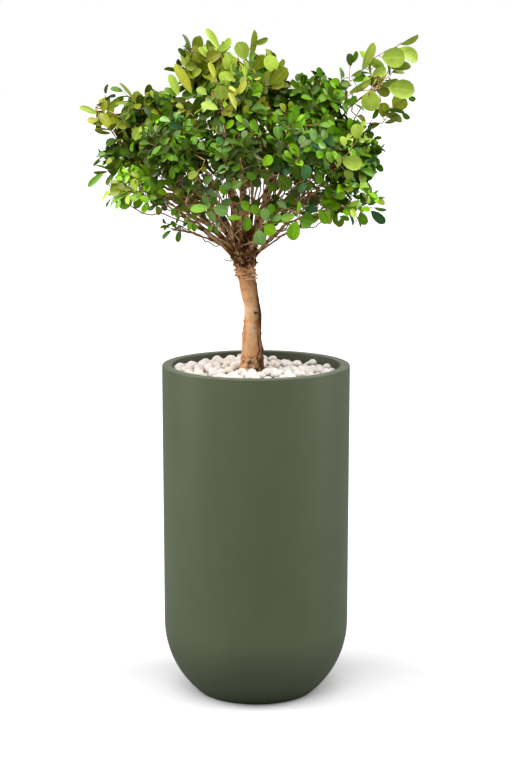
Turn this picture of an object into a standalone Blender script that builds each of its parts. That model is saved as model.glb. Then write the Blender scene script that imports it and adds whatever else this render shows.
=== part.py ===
"""A small standard tree in a tall round-bottomed planter, dressed with white pebbles.

The planter stands on its flat foot, with the origin at the centre of that foot. The tree has one
clear stem, a knuckle where it was headed back, boughs that fan out of the knuckle, and a loose
crown of leafy masses, one on the tip of each bough. Front is -Y, right is +X and up is +Z.
All sizes are in metres.
"""

import math
import random

import bmesh
import bpy
import numpy as np
from mathutils import Matrix, Vector
from mathutils.bvhtree import BVHTree
from mathutils.geometry import intersect_point_line

TOUCH_GAP = 0.0003

# Planter
RIM_RADIUS = 0.180
PLANTER_HEIGHT = 0.642
BOWL_RADIUS = 0.1786
BOWL_CENTRE_HEIGHT = 0.138
RIM_WIDTH = 0.019
RIM_DEPTH = 0.044
WALL = 0.010
FLOOR_THICKNESS = 0.014
RIM_EDGE = 0.002
PLANTER_SIDES = 32

# What fills the planter
SOIL_TOP = 0.604
SOIL_SIDES = 16
PEBBLE_BED_SIDES = 20
PEBBLE_PITCH = 0.0375
PEBBLE_SIZE = (0.0190, 0.0170, 0.0105)
PEBBLE_SIZE_RANGE = (0.88, 1.08)
PEBBLE_TILT = 0.2
PEBBLE_UNEVEN = 0.001
PEBBLE_SUNK = 0.0125
PEBBLE_HIGH = 0.0368
PEBBLE_LOW = 0.0330
BED_RINGS = (0.3, 0.6, 0.8, 1.0)

# Trunk: height above the floor, sideways place and radius at each station
TRUNK_Y = -0.010
TRUNK_STATIONS = (
    (SOIL_TOP + TOUCH_GAP, -0.009, 0.0290),
    (0.633, -0.009, 0.0250),
    (0.662, -0.007, 0.0210),
    (0.700, -0.007, 0.0175),
    (0.740, -0.006, 0.0162),
    (0.780, -0.0115, 0.0150),
    (0.830, -0.021, 0.0176),
    (0.862, -0.024, 0.0250),
    (0.878, -0.025, 0.0250),
    (0.892, -0.026, 0.0140),
)
TRUNK_RINGS = 17
KNUCKLE = Vector((-0.0245, TRUNK_Y, 0.866))
KNUCKLE_RADIUS = 0.0245
ROOT_DEPTH = 0.010
ROOT_SPACE = 0.0026
SPREAD_ROUNDS = 400
LOW_RISE = 0.707
LOW_DROP = Vector((0, 0, 0.030))

# Boughs
BOUGH_RINGS = 5
BOUGH_END_LENGTH = 0.006
BOUGH_TIP_RADIUS = 0.0024
BOUGH_TAPER = 0.8
BOUGH_LEAN_OUT = 0.25
BOUGH_START_HANDLE = 0.40
BOUGH_END_HANDLE = 0.20
BOUGH_RISE = Vector((0, 0, 0.4))
ENTRY_SHARE = 0.86
ENTRY_DROP = 0.4

# Twigs and leaves. A leaf is larger than life, so that a few hundred close the crown.
LEAF_LENGTH = 0.062
LEAF_MOST_OF_MASS = 0.9
LEAF_LENGTH_RANGE = (0.85, 1.12)
LEAF_WIDTH_SHARE = 0.62
LEAF_CROWN_SHARE = 0.045
LEAF_RIM = ((0, 0), (0.52, 1), (0.95, 0.42), (0.95, -0.42), (0.52, -1))
LEAF_MIDDLE = 0.55
LEAF_ROOT_SUNK = 0.0012
LEAF_CLEARANCE = 0.003
LEAF_PLACES = ((1.0, 0.45), (0.88, 1.05), (0.76, -1.05))
LEAF_TRIES = 10
LEAF_WANDER = 0.15
LEAF_WANDER_STEP = 0.05
LEAF_SHRINK_STEP = 0.03
BLADE_OUTWARD = 0.8
BLADE_WANDER = 0.35
TWIG_RADIUS = 0.0019
STEM_RADIUS = 0.0024
TWIG_TAPER = 0.75
TWIG_WANDER = 0.12
TWIG_STARTS = (0.55, 0.97)
TWIG_REACH = {True: 0.42, False: 0.64}
TWIG_REACH_TRIES = (1.0, 0.85, 0.7, 0.55)
BARE_INSIDE = 0.62

# Each mass keeps to its own space, and a dense one has a core
CROWN_CENTRE = Vector((-0.02, 0.0, 1.06))
CELL_MARGIN = 0.05
CELL_OUTER = 1.06
CORE_SHARE = 0.50
CORE_UNEVEN = (0.86, 1.10)
CORE_INWARD = 0.24
CORE_LEAST = 0.2
CORE_STEP = 0.04
CORE_MARGIN = 0.08
CORE_CLEARANCE = 0.002

# The leafy masses: name, centre, half-sizes, number of twigs, whether dense, bough's root radius
MASSES = (
    ("top_left", (-0.094, -0.030, 1.192), (0.084, 0.086, 0.088), 9, True, 0.0100),
    ("top_right", (0.012, 0.005, 1.172), (0.082, 0.086, 0.086), 8, True, 0.0054),
    ("front_top", (-0.036, -0.125, 1.146), (0.082, 0.072, 0.074), 8, True, 0.0050),
    ("shoulder_left", (-0.192, -0.020, 1.104), (0.086, 0.086, 0.074), 8, True, 0.0056),
    ("shoulder_right", (0.112, -0.015, 1.130), (0.090, 0.090, 0.078), 9, True, 0.0056),
    ("wing_left", (-0.276, -0.030, 1.124), (0.060, 0.058, 0.054), 5, False, 0.0042),
    ("wing_right", (0.236, -0.020, 1.174), (0.076, 0.064, 0.094), 7, False, 0.0050),
    ("mid_front", (-0.028, -0.180, 1.062), (0.082, 0.076, 0.064), 8, True, 0.0050),
    ("mid_front_left", (-0.138, -0.125, 1.064), (0.082, 0.080, 0.066), 8, True, 0.0050),
    ("mid_front_right", (0.082, -0.138, 1.064), (0.084, 0.082, 0.068), 8, True, 0.0050),
    ("mid_left", (-0.234, 0.005, 1.030), (0.074, 0.080, 0.060), 8, True, 0.0052),
    ("mid_right", (0.174, -0.030, 1.044), (0.068, 0.086, 0.070), 8, True, 0.0052),
    ("low_left", (-0.216, -0.070, 0.982), (0.088, 0.074, 0.050), 6, False, 0.0054),
    ("low_right", (0.162, -0.045, 0.966), (0.082, 0.080, 0.058), 7, False, 0.0058),
    ("low_front", (0.048, -0.160, 0.956), (0.072, 0.068, 0.056), 6, False, 0.0048),
    ("low_front_left", (-0.092, -0.150, 0.984), (0.066, 0.064, 0.042), 5, False, 0.0044),
    ("sprig_left", (-0.157, -0.030, 0.902), (0.038, 0.036, 0.036), 3, False, 0.0032),
    ("back_top", (-0.040, 0.120, 1.142), (0.092, 0.080, 0.080), 8, True, 0.0050),
    ("back_left", (-0.150, 0.120, 1.062), (0.090, 0.084, 0.074), 8, True, 0.0050),
    ("back_right", (0.095, 0.128, 1.072), (0.092, 0.084, 0.074), 8, True, 0.0050),
    ("back_mid", (-0.030, 0.185, 1.030), (0.080, 0.070, 0.066), 7, True, 0.0048),
    ("low_back_left", (-0.126, 0.122, 0.962), (0.078, 0.076, 0.050), 5, False, 0.0046),
    ("low_back_right", (0.086, 0.140, 0.964), (0.080, 0.078, 0.052), 5, False, 0.0048),
)


# ---------------------------------------------------------------- scene and materials


def clear_scene():
    for old in list(bpy.data.objects):
        bpy.data.objects.remove(old)


def new_collection(name, hidden=False):
    made = bpy.data.collections.new(name)
    bpy.context.scene.collection.children.link(made)
    made.hide_render = hidden
    return made


def finish_material(name, colour, roughness, metallic=0.0):
    made = bpy.data.materials.new(name)
    made.use_nodes = True
    shader = made.node_tree.nodes["Principled BSDF"]
    shader.inputs["Base Color"].default_value = (*colour, 1.0)
    shader.inputs["Roughness"].default_value = roughness
    shader.inputs["Metallic"].default_value = metallic
    return made


def add_object(name, mesh, collection, material=None):
    made = bpy.data.objects.new(name, mesh)
    collection.objects.link(made)
    if material:
        made.data.materials.append(material)
    return made


def object_from(bm, name, collection, material=None):
    mesh = bpy.data.meshes.new(name)
    bmesh.ops.recalc_face_normals(bm, faces=bm.faces)
    if bm.calc_volume(signed=True) < 0:
        bmesh.ops.reverse_faces(bm, faces=bm.faces)
    bm.to_mesh(mesh)
    bm.free()
    return add_object(name, mesh, collection, material)


def smooth_round(obj, angle=math.radians(40)):
    obj.data.shade_smooth()
    obj.data.set_sharp_from_angle(angle=angle)


# ---------------------------------------------------------------- planter and what fills it


def arc(radius, centre_height, from_height, to_height, steps):
    """Points (radius, height) down a round bowl, from one height to a lower one."""
    start = math.asin((from_height - centre_height) / radius)
    end = math.asin((to_height - centre_height) / radius)
    turns = [start + (end - start) * i / steps for i in range(steps + 1)]
    return [(radius * math.cos(t), centre_height + radius * math.sin(t)) for t in turns]


def turned(name, profile, sides, collection, material):
    """A solid of revolution. The profile starts and ends on the axis, and its outer side runs down."""
    mesh = bpy.data.meshes.new(name)
    points = [(radius, 0, height) for radius, height in profile]
    mesh.from_pydata(points, [(i, i + 1) for i in range(len(points) - 1)], [])
    made = add_object(name, mesh, collection, material)
    screw = made.modifiers.new("turn", "SCREW")
    screw.axis = "Z"
    screw.angle = math.tau
    screw.steps = sides
    screw.render_steps = sides
    screw.use_merge_vertices = True
    screw.merge_threshold = 0.0001
    return made


def planter_profile():
    inside = BOWL_RADIUS - WALL
    lip = RIM_RADIUS - RIM_WIDTH
    lip_bottom = PLANTER_HEIGHT - RIM_DEPTH
    rising = arc(inside, BOWL_CENTRE_HEIGHT, BOWL_CENTRE_HEIGHT, FLOOR_THICKNESS, 4)[::-1]
    falling = arc(BOWL_RADIUS, BOWL_CENTRE_HEIGHT, BOWL_CENTRE_HEIGHT, 0.0, 7)
    return [
        (0, FLOOR_THICKNESS),
        *rising,
        (inside, lip_bottom - RIM_WIDTH + WALL),
        (lip, lip_bottom),
        (lip, PLANTER_HEIGHT - RIM_EDGE),
        (lip + RIM_EDGE, PLANTER_HEIGHT),
        (RIM_RADIUS - RIM_EDGE, PLANTER_HEIGHT),
        (RIM_RADIUS, PLANTER_HEIGHT - RIM_EDGE),
        *falling,
        (0, 0),
    ]


def soil_profile():
    """The fill follows the planter's inside, a small gap clear of its flat facets."""
    clear = (BOWL_RADIUS - WALL) * math.cos(math.pi / PLANTER_SIDES) - 2 * TOUCH_GAP
    lip = (RIM_RADIUS - RIM_WIDTH) * math.cos(math.pi / PLANTER_SIDES) - TOUCH_GAP
    lip_bottom = PLANTER_HEIGHT - RIM_DEPTH
    floor = FLOOR_THICKNESS + TOUCH_GAP
    bowl = arc(clear, BOWL_CENTRE_HEIGHT, BOWL_CENTRE_HEIGHT, floor, 4)
    return [
        (0, SOIL_TOP),
        (lip, SOIL_TOP),
        (lip, lip_bottom - TOUCH_GAP),
        (clear, lip_bottom - RIM_WIDTH + WALL - 2 * TOUCH_GAP),
        *bowl,
        (0, floor),
    ]


def pebble_height(radius):
    """How far above the soil the pebbles' tops lie: heaped in the middle, lower at the wall."""
    share = min(1.0, radius / (RIM_RADIUS - RIM_WIDTH))
    return PEBBLE_HIGH + (PEBBLE_LOW - PEBBLE_HIGH) * share**3


def make_pebbles(collection, spare, material, trunk_cutter):
    """Rounded pebbles laid on a sunflower spiral, sunk into a bed, round the foot of the trunk."""
    rng = random.Random(11)
    reach = (RIM_RADIUS - RIM_WIDTH) * math.cos(math.pi / PLANTER_SIDES) - TOUCH_GAP
    long_half, wide_half, high_half = PEBBLE_SIZE
    bed_floor = SOIL_TOP + TOUCH_GAP
    bed_top = [
        (reach * share, SOIL_TOP + pebble_height(reach * share) - PEBBLE_SUNK)
        for share in BED_RINGS
    ]
    profile = [(0, bed_top[0][1]), *bed_top, (reach, bed_floor), (0, bed_floor)]
    made = turned("pebbles", profile, PEBBLE_BED_SIDES, collection, material)
    apply_modifiers(made)
    foot = Vector((TRUNK_STATIONS[1][1], TRUNK_Y))
    for i in range(int((reach / PEBBLE_PITCH) ** 2 * math.pi)):
        radius = PEBBLE_PITCH * math.sqrt((i + 0.5) / math.pi)
        turn = i * math.pi * (3 - math.sqrt(5))
        spot = Vector((math.cos(turn), math.sin(turn))) * radius
        near_trunk = (spot - foot).length < TRUNK_STATIONS[1][2] + wide_half / 2
        if near_trunk or radius > reach - long_half:
            continue
        size = rng.uniform(*PEBBLE_SIZE_RANGE)
        bm = bmesh.new()
        bmesh.ops.create_icosphere(bm, subdivisions=1, radius=size)
        bmesh.ops.scale(bm, verts=bm.verts, vec=PEBBLE_SIZE)
        for axis, most in (("X", PEBBLE_TILT), ("Y", PEBBLE_TILT), ("Z", math.pi)):
            tilt = Matrix.Rotation(rng.uniform(-most, most), 3, axis)
            bmesh.ops.rotate(bm, verts=bm.verts, cent=(0, 0, 0), matrix=tilt)
        top = SOIL_TOP + pebble_height(radius) + rng.uniform(-PEBBLE_UNEVEN, PEBBLE_UNEVEN)
        bmesh.ops.translate(bm, verts=bm.verts, vec=(spot.x, spot.y, top - high_half * size))
        object_from(bm, f"pebble_{i}", spare)
    union_of(made, spare)
    cut_away(made, trunk_cutter)
    keep_largest(made)


# ---------------------------------------------------------------- Booleans


def apply_modifiers(obj):
    """Makes the evaluated mesh the object's own, and drops the modifiers."""
    graph = bpy.context.evaluated_depsgraph_get()
    graph.update()
    old = obj.data
    obj.data = bpy.data.meshes.new_from_object(obj.evaluated_get(graph))
    obj.modifiers.clear()
    obj.data.name = obj.name
    if not old.users:
        bpy.data.meshes.remove(old)


def empty_out(collection):
    for used in list(collection.objects):
        mesh = used.data
        bpy.data.objects.remove(used)
        if not mesh.users:
            bpy.data.meshes.remove(mesh)


def union_of(obj, collection):
    """Fuses everything in the collection into obj, then empties the collection."""
    join = obj.modifiers.new("join", "BOOLEAN")
    join.operation = "UNION"
    join.operand_type = "COLLECTION"
    join.collection = collection
    join.solver = "MANIFOLD"
    apply_modifiers(obj)
    empty_out(collection)


def cut_away(obj, cutter):
    cut = obj.modifiers.new("cut", "BOOLEAN")
    cut.operation = "DIFFERENCE"
    cut.object = cutter
    cut.solver = "MANIFOLD"
    apply_modifiers(obj)


def keep_largest(obj):
    """Drops loose scraps and sealed hollows, keeping the island with the most faces."""
    bm = bmesh.new()
    bm.from_mesh(obj.data)
    unseen = set(bm.faces)
    islands = []
    while unseen:
        stack = [unseen.pop()]
        island = list(stack)
        while stack:
            for edge in stack.pop().edges:
                for face in edge.link_faces:
                    if face in unseen:
                        unseen.discard(face)
                        island.append(face)
                        stack.append(face)
        islands.append(island)
    islands.sort(key=len)
    loose = [face for island in islands[:-1] for face in island]
    bmesh.ops.delete(bm, geom=loose, context="FACES")
    bm.to_mesh(obj.data)
    bm.free()


# ---------------------------------------------------------------- trunk and boughs


def smooth_read(stations, height):
    """Sideways place and radius at a height, on a smooth curve through the stations."""
    heights = [s[0] for s in stations]
    after = next((i for i, h in enumerate(heights) if h >= height), len(heights) - 1)
    i = max(0, after - 1)
    pick = [stations[min(max(k, 0), len(stations) - 1)] for k in (i - 1, i, i + 1, i + 2)]
    t = (height - pick[1][0]) / (pick[2][0] - pick[1][0])
    found = []
    for column in (1, 2):
        a, b, c, d = (p[column] for p in pick)
        bend = 2 * b + (c - a) * t + (2 * a - 5 * b + 4 * c - d) * t**2 + (3 * b - a - 3 * c + d) * t**3
        found.append(bend / 2)
    return found


def limb_mesh(name, path, radii, sides_level, collection, material=None, inflate=0.0):
    """A round tapering limb along the path, closed at both ends."""
    curve = bpy.data.curves.new(name, "CURVE")
    curve.dimensions = "3D"
    curve.bevel_depth = 1.0
    curve.bevel_resolution = sides_level
    curve.use_fill_caps = True
    spline = curve.splines.new("POLY")
    spline.points.add(len(path) - 1)
    for point, place, radius in zip(spline.points, path, radii):
        point.co = (*place, 1)
        point.radius = radius + inflate
    drawn = bpy.data.objects.new(name + "_line", curve)
    collection.objects.link(drawn)
    graph = bpy.context.evaluated_depsgraph_get()
    mesh = bpy.data.meshes.new_from_object(drawn.evaluated_get(graph))
    bpy.data.objects.remove(drawn)
    bpy.data.curves.remove(curve)
    bm = bmesh.new()
    bm.from_mesh(mesh)
    bpy.data.meshes.remove(mesh)
    bmesh.ops.remove_doubles(bm, verts=bm.verts, dist=0.00001)
    return object_from(bm, name, collection, material)


def trunk_line(extra=0.0):
    """Points and radii up the trunk. extra lengthens both ends, for a cutter."""
    low, high = TRUNK_STATIONS[0][0], TRUNK_STATIONS[-1][0]
    path, radii = [], []
    for i in range(TRUNK_RINGS + 1):
        height = low + (high - low) * i / TRUNK_RINGS
        side, radius = smooth_read(TRUNK_STATIONS, height)
        path.append(Vector((side, TRUNK_Y, height)))
        radii.append(radius)
    path[1].x = path[0].x
    if extra:
        path[0].z -= extra
        path[-1].z += extra
    return path, radii


def spread_directions(directions, widths, hubs):
    """Turns directions from one hub that lie too close together away from each other, a little at
    a time. A thick bough gives way less than a thin one."""
    found = [direction.normalized() for direction in directions]
    for _ in range(SPREAD_ROUNDS):
        for i in range(len(found)):
            for j in range(i):
                apart = (widths[i] + widths[j] + ROOT_SPACE) / KNUCKLE_RADIUS
                angle = found[i].angle(found[j])
                if hubs[i] == hubs[j] and angle < apart:
                    push = (found[i] - found[j]).normalized() * (apart - angle) * 0.5
                    share = widths[j] ** 2 / (widths[i] ** 2 + widths[j] ** 2)
                    found[i] = (found[i] + push * share).normalized()
                    found[j] = (found[j] - push * (1 - share)).normalized()
    return found


def bezier(a, b, c, d, t):
    s = 1 - t
    return a * s**3 + b * (3 * s * s * t) + c * (3 * s * t * t) + d * t**3


def entry_point(centre, half):
    """Where a bough enters its mass: on the side that faces the crown's inside and the knuckle."""
    inside = Vector((KNUCKLE.x, KNUCKLE.y, KNUCKLE.z + ENTRY_DROP * (centre.z - KNUCKLE.z)))
    toward = (inside - centre).normalized()
    scale = Vector((toward.x / half.x, toward.y / half.y, toward.z / half.z)).length
    return centre + toward * ENTRY_SHARE / scale


def bough_lines():
    """Path and radii of the bough to each mass. Roots are spread evenly over the knuckle, and the
    boughs that lean out most leave it from lower down."""
    aims, hubs = [], []
    for _, centre, half, *_ in MASSES:
        tip = entry_point(Vector(centre), Vector(half))
        low = (tip - KNUCKLE).normalized().z < LOW_RISE
        hubs.append(KNUCKLE - LOW_DROP if low else KNUCKLE)
        aims.append(tip - hubs[-1])
    roots = spread_directions(aims, [mass[5] for mass in MASSES], hubs)
    lines = []
    for (_, centre, half, _, _, root_radius), root, hub in zip(MASSES, roots, hubs):
        tip = entry_point(Vector(centre), Vector(half))
        start = hub + root * ROOT_DEPTH
        reach = (tip - start).length
        inward = (Vector(centre) - tip).normalized()
        lead = (root + (tip - start).normalized() * BOUGH_LEAN_OUT).normalized()
        bend = tip - inward * BOUGH_END_LENGTH
        first_handle = start + lead * reach * BOUGH_START_HANDLE
        last_handle = bend - (inward + BOUGH_RISE) * reach * BOUGH_END_HANDLE
        path, radii = [], []
        for i in range(BOUGH_RINGS + 1):
            t = i / BOUGH_RINGS
            path.append(bezier(start, first_handle, last_handle, bend, t))
            radii.append(root_radius + (BOUGH_TIP_RADIUS - root_radius) * t**BOUGH_TAPER)
        path.append(tip)
        radii.append(BOUGH_TIP_RADIUS)
        lines.append((path, radii))
    return lines


# ---------------------------------------------------------------- leafy masses


class Crown:
    """Knows each mass's own space and where the limbs run, so that growth stays clear of them."""

    def __init__(self, lines, limb_surfaces):
        self.surfaces = limb_surfaces
        self.centres = np.array([mass[1] for mass in MASSES])
        self.halves = np.array([mass[2] for mass in MASSES])
        starts, ends, radii = [], [], []
        for path, widths in [trunk_line(), *lines]:
            starts += [tuple(point) for point in path[:-1]]
            ends += [tuple(point) for point in path[1:]]
            radii += [max(pair) for pair in zip(widths[:-1], widths[1:])]
        self.starts, self.ends, self.radii = np.array(starts), np.array(ends), np.array(radii)

    def allows(self, index, points, limb_gap, margin=CELL_MARGIN):
        """Whether all the points lie in this mass's own space, and clear of every limb."""
        points = np.array([tuple(point) for point in points])
        away = np.linalg.norm((points[:, None] - self.centres) / self.halves, axis=2)
        own = away[:, index].copy()
        away[:, index] = np.inf
        if (own > CELL_OUTER).any() or (own + margin > away.min(axis=1)).any():
            return False
        span = self.ends - self.starts
        offset = points[:, None] - self.starts
        share = np.clip((offset * span).sum(2) / (span**2).sum(1), 0, 1)
        nearest = self.starts + share[..., None] * span
        gap = np.linalg.norm(points[:, None] - nearest, axis=2) - self.radii
        return bool((gap > limb_gap).all())


def sphere_points(count):
    """Directions spread evenly over a sphere, on a spiral."""
    found = []
    for i in range(count):
        height = 1 - 2 * (i + 0.5) / count
        turn = i * math.pi * (3 - math.sqrt(5))
        ring = math.sqrt(1 - height * height)
        found.append(Vector((ring * math.cos(turn), ring * math.sin(turn), height)))
    return found


def jittered(rng, direction, amount):
    return (direction + Vector([rng.gauss(0, amount) for _ in range(3)])).normalized()


def leaf_corners(leaf):
    """A blunt oval blade's five rim corners, from its root round, and its raised middle."""
    base, along, across, out, length = leaf
    half = length * LEAF_WIDTH_SHARE / 2
    corners = [base + along * length * forward + across * half * aside for forward, aside in LEAF_RIM]
    return corners, base + along * length * LEAF_MIDDLE + out * length * LEAF_CROWN_SHARE


def leaf_surface(leaf):
    """The blade as a search tree of triangles, for the test of whether leaves cross."""
    corners, middle = leaf_corners(leaf)
    faces = [(i, (i + 1) % 5, 5) for i in range(5)] + [(4, 3, 2, 1, 0)]
    return BVHTree.FromPolygons([*corners, middle], faces)


def grow(index, rng, crown, tip):
    """The stem, twigs and leaves of one mass, as tapering sticks and leaf frames."""
    _, centre, half, twig_count, dense, _ = MASSES[index]
    centre, half = Vector(centre), Vector(half)
    inward = (centre - tip).normalized()
    stem = (tip + inward * TOUCH_GAP, centre, STEM_RADIUS, STEM_RADIUS * TWIG_TAPER)
    sticks, leaves = [stem], []
    to_middle = (CROWN_CENTRE - centre).normalized()
    for k, direction in enumerate(sphere_points(twig_count)):
        direction = jittered(rng, direction, TWIG_WANDER)
        if dense and direction.dot(to_middle) > BARE_INSIDE:
            continue
        first, last = TWIG_STARTS
        start = stem[0].lerp(stem[1], first + (last - first) * (k + 0.5) / twig_count)
        for reach in TWIG_REACH_TRIES:
            end = centre + direction * half * TWIG_REACH[dense] * reach
            line = [start.lerp(end, share / 8) for share in range(2, 9)]
            if crown.allows(index, line, TWIG_RADIUS + LEAF_CLEARANCE / 3):
                sticks.append((start, end, TWIG_RADIUS, TWIG_RADIUS * TWIG_TAPER))
                leaves += leaves_on(index, rng, crown, start, end)
                break
    return sticks, leaves


def leaves_on(index, rng, crown, start, end):
    """Alternate leaves near a twig's end, blades turned to the sky and outwards, none crossing."""
    found = []
    along = (end - start).normalized()
    centre, half = MASSES[index][1:3]
    outward = (end - Vector(centre)).normalized()
    face = outward * BLADE_OUTWARD + Vector((0, 0, 1))
    longest = min(LEAF_LENGTH, max(half) * LEAF_MOST_OF_MASS)
    side = along.cross(face).normalized()
    for place, lean in LEAF_PLACES:
        base = start.lerp(end, place)
        for attempt in range(LEAF_TRIES):
            wander = LEAF_WANDER + LEAF_WANDER_STEP * attempt
            heading = jittered(rng, along * math.cos(lean) + side * math.sin(lean), wander)
            across = heading.cross(jittered(rng, face, BLADE_WANDER)).normalized()
            length = longest * rng.uniform(*LEAF_LENGTH_RANGE) * (1 - LEAF_SHRINK_STEP * attempt)
            leaf = (base - heading * LEAF_ROOT_SUNK, heading, across, across.cross(heading), length)
            surface = leaf_surface(leaf)
            if not crown.allows(index, leaf_corners(leaf)[0][1:], LEAF_CLEARANCE):
                continue
            if not any(surface.overlap(other) for other in crown.surfaces):
                found.append(leaf)
                crown.surfaces.append(surface)
                break
    return found


def add_stick(stick, name, collection):
    """A three-sided tapering twig."""
    start, end, wide, narrow = stick
    bm = bmesh.new()
    length = (end - start).length
    bmesh.ops.create_cone(bm, cap_ends=True, segments=3, radius1=wide, radius2=narrow, depth=length)
    turn = (end - start).to_track_quat("Z", "Y").to_matrix()
    bmesh.ops.rotate(bm, verts=bm.verts, cent=(0, 0, 0), matrix=turn)
    bmesh.ops.translate(bm, verts=bm.verts, vec=(start + end) / 2)
    return object_from(bm, name, collection)


def add_leaf(leaf, name, collection):
    """A leaf blade, shaped from a flat five-sided cone."""
    corners, middle = leaf_corners(leaf)
    bm = bmesh.new()
    bmesh.ops.create_cone(bm, cap_ends=True, segments=5, radius1=1, radius2=0, depth=1)
    for vert in bm.verts:
        turn = math.atan2(vert.co.x, vert.co.y) % math.tau
        vert.co = middle if vert.co.z > 0 else corners[round(turn / math.tau * 5) % 5]
    return object_from(bm, name, collection)


def add_core(index, crown, rng, limbs, collection):
    """The dark heart of a dense mass, drawn in from its neighbours and cut clear of the limbs."""
    _, centre, half, *_ = MASSES[index]
    centre, half = Vector(centre), Vector(half)
    inward = (CROWN_CENTRE - centre).normalized()
    bm = bmesh.new()
    bmesh.ops.create_icosphere(bm, subdivisions=2, radius=1)
    for vert in bm.verts:
        direction = vert.co.normalized()
        share = CORE_SHARE * rng.uniform(*CORE_UNEVEN) + CORE_INWARD * max(0, direction.dot(inward))
        while share > CORE_LEAST:
            vert.co = centre + direction * half * share
            if crown.allows(index, [vert.co], CORE_CLEARANCE, CORE_MARGIN):
                break
            share -= CORE_STEP
    core = object_from(bm, "core", collection)
    for path, cutter in limbs:
        spans = zip(path[:-1], path[1:])
        if min(distance_to_line(centre, start, end) for start, end in spans) < max(half):
            cut_away(core, cutter)
    keep_largest(core)
    crown.surfaces.append(surface_of(core))


def surface_of(obj):
    vertices = [vert.co for vert in obj.data.vertices]
    return BVHTree.FromPolygons(vertices, [tuple(face.vertices) for face in obj.data.polygons])


def distance_to_line(point, start, end):
    nearest, share = intersect_point_line(point, start, end)
    return (point - (start if share < 0 else end if share > 1 else nearest)).length


def make_mass(index, crown, lines, limbs, collection, spare, material):
    """One leafy mass, fused into a single solid."""
    name, dense = MASSES[index][0], MASSES[index][4]
    rng = random.Random(100 + index)
    sticks, leaves = grow(index, rng, crown, lines[index][0][-1])
    made = add_stick(sticks[0], "leaves_" + name, collection)
    made.data.materials.append(material)
    if dense:
        add_core(index, crown, rng, limbs, spare)
    for k, stick in enumerate(sticks[1:]):
        add_stick(stick, f"twig_{k}", spare)
    for k, leaf in enumerate(leaves):
        add_leaf(leaf, f"leaf_{k}", spare)
    union_of(made, spare)
    keep_largest(made)


# ---------------------------------------------------------------- the whole plant


def main():
    clear_scene()
    plant = new_collection("potted_standard_tree")
    spare = new_collection("to_be_joined")
    cutters = new_collection("cutters", hidden=True)

    olive = finish_material("olive_planter", (0.117, 0.145, 0.087), 0.62)
    earth = finish_material("potting_soil", (0.045, 0.030, 0.020), 0.95)
    white = finish_material("white_pebble", (0.78, 0.72, 0.67), 0.70)
    bark = finish_material("tan_bark", (0.46, 0.27, 0.14), 0.80)
    red_bark = finish_material("bough_bark", (0.23, 0.11, 0.06), 0.80)
    green = finish_material("leaf_green", (0.09, 0.22, 0.03), 0.42)

    planter = turned("planter", planter_profile(), PLANTER_SIDES, plant, olive)
    apply_modifiers(planter)
    smooth_round(planter)
    soil = turned("soil", soil_profile(), SOIL_SIDES, plant, earth)
    apply_modifiers(soil)

    path, radii = trunk_line()
    trunk = limb_mesh("trunk", path, radii, 4, plant, bark)
    smooth_round(trunk)
    long_path, _ = trunk_line(extra=TOUCH_GAP)
    trunk_cutter = limb_mesh("trunk_cutter", long_path, radii, 4, cutters, inflate=TOUCH_GAP)
    pebble_cutter = limb_mesh("pebble_cutter", long_path, radii, 4, cutters, inflate=2 * TOUCH_GAP)
    make_pebbles(plant, spare, white, pebble_cutter)

    lines = bough_lines()
    limb_cutters = [(long_path, trunk_cutter)]
    for (name, *_), (path, radii) in zip(MASSES, lines):
        bough = limb_mesh("bough_" + name, path, radii, 1, plant, red_bark)
        cut_away(bough, trunk_cutter)
        keep_largest(bough)
        smooth_round(bough)
        longer = [*path[:-1], path[-1] + (path[-1] - path[-2]).normalized() * TOUCH_GAP]
        cutter = limb_mesh("clear_" + name, longer, radii, 1, cutters, inflate=TOUCH_GAP)
        limb_cutters.append((longer, cutter))

    crown = Crown(lines, [surface_of(cutter) for _, cutter in limb_cutters])
    for index in range(len(MASSES)):
        make_mass(index, crown, lines, limb_cutters, plant, spare, green)
    for cutter in cutters.objects:
        cutter.hide_render = True
        cutter.display_type = "WIRE"


main()
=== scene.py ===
"""The looks of a small standard tree that stands in a tall olive planter dressed with white pebbles.

The sections follow the plant from its pot upwards. Front is -Y, right is +X and up is +Z, and all
sizes are in metres. What grows is drawn by the same rule as in the part's source, carried on to
finer twigs and to leaves of their real size.
"""

import math
import random
from collections import namedtuple

import bpy
import numpy as np
from mathutils import Matrix, Vector, noise


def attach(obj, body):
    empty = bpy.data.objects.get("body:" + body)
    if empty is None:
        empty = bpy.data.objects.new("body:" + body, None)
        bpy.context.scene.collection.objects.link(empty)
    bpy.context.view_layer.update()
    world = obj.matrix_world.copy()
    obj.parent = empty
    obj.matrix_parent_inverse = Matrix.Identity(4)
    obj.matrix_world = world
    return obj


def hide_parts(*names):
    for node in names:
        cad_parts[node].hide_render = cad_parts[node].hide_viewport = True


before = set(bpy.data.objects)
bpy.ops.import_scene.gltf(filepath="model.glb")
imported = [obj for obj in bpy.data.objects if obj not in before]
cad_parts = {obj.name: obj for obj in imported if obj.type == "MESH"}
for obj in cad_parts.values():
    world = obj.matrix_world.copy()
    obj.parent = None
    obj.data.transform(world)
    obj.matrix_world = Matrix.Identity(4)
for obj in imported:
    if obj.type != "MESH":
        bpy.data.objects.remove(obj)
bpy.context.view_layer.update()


# ---------------------------------------------------------------- camera
# A long lens at chest height, square on to the front of the planter and tipped down a little,
# so that the rim shows as a narrow oval with the pebbles inside it.

CAMERA_DISTANCE = 3.6
CAMERA_HEIGHT = 1.225
CAMERA_TIPPED_DOWN = math.radians(9.8)
LENS_MM = 89.2
SENSOR_MM = 36.0

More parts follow.
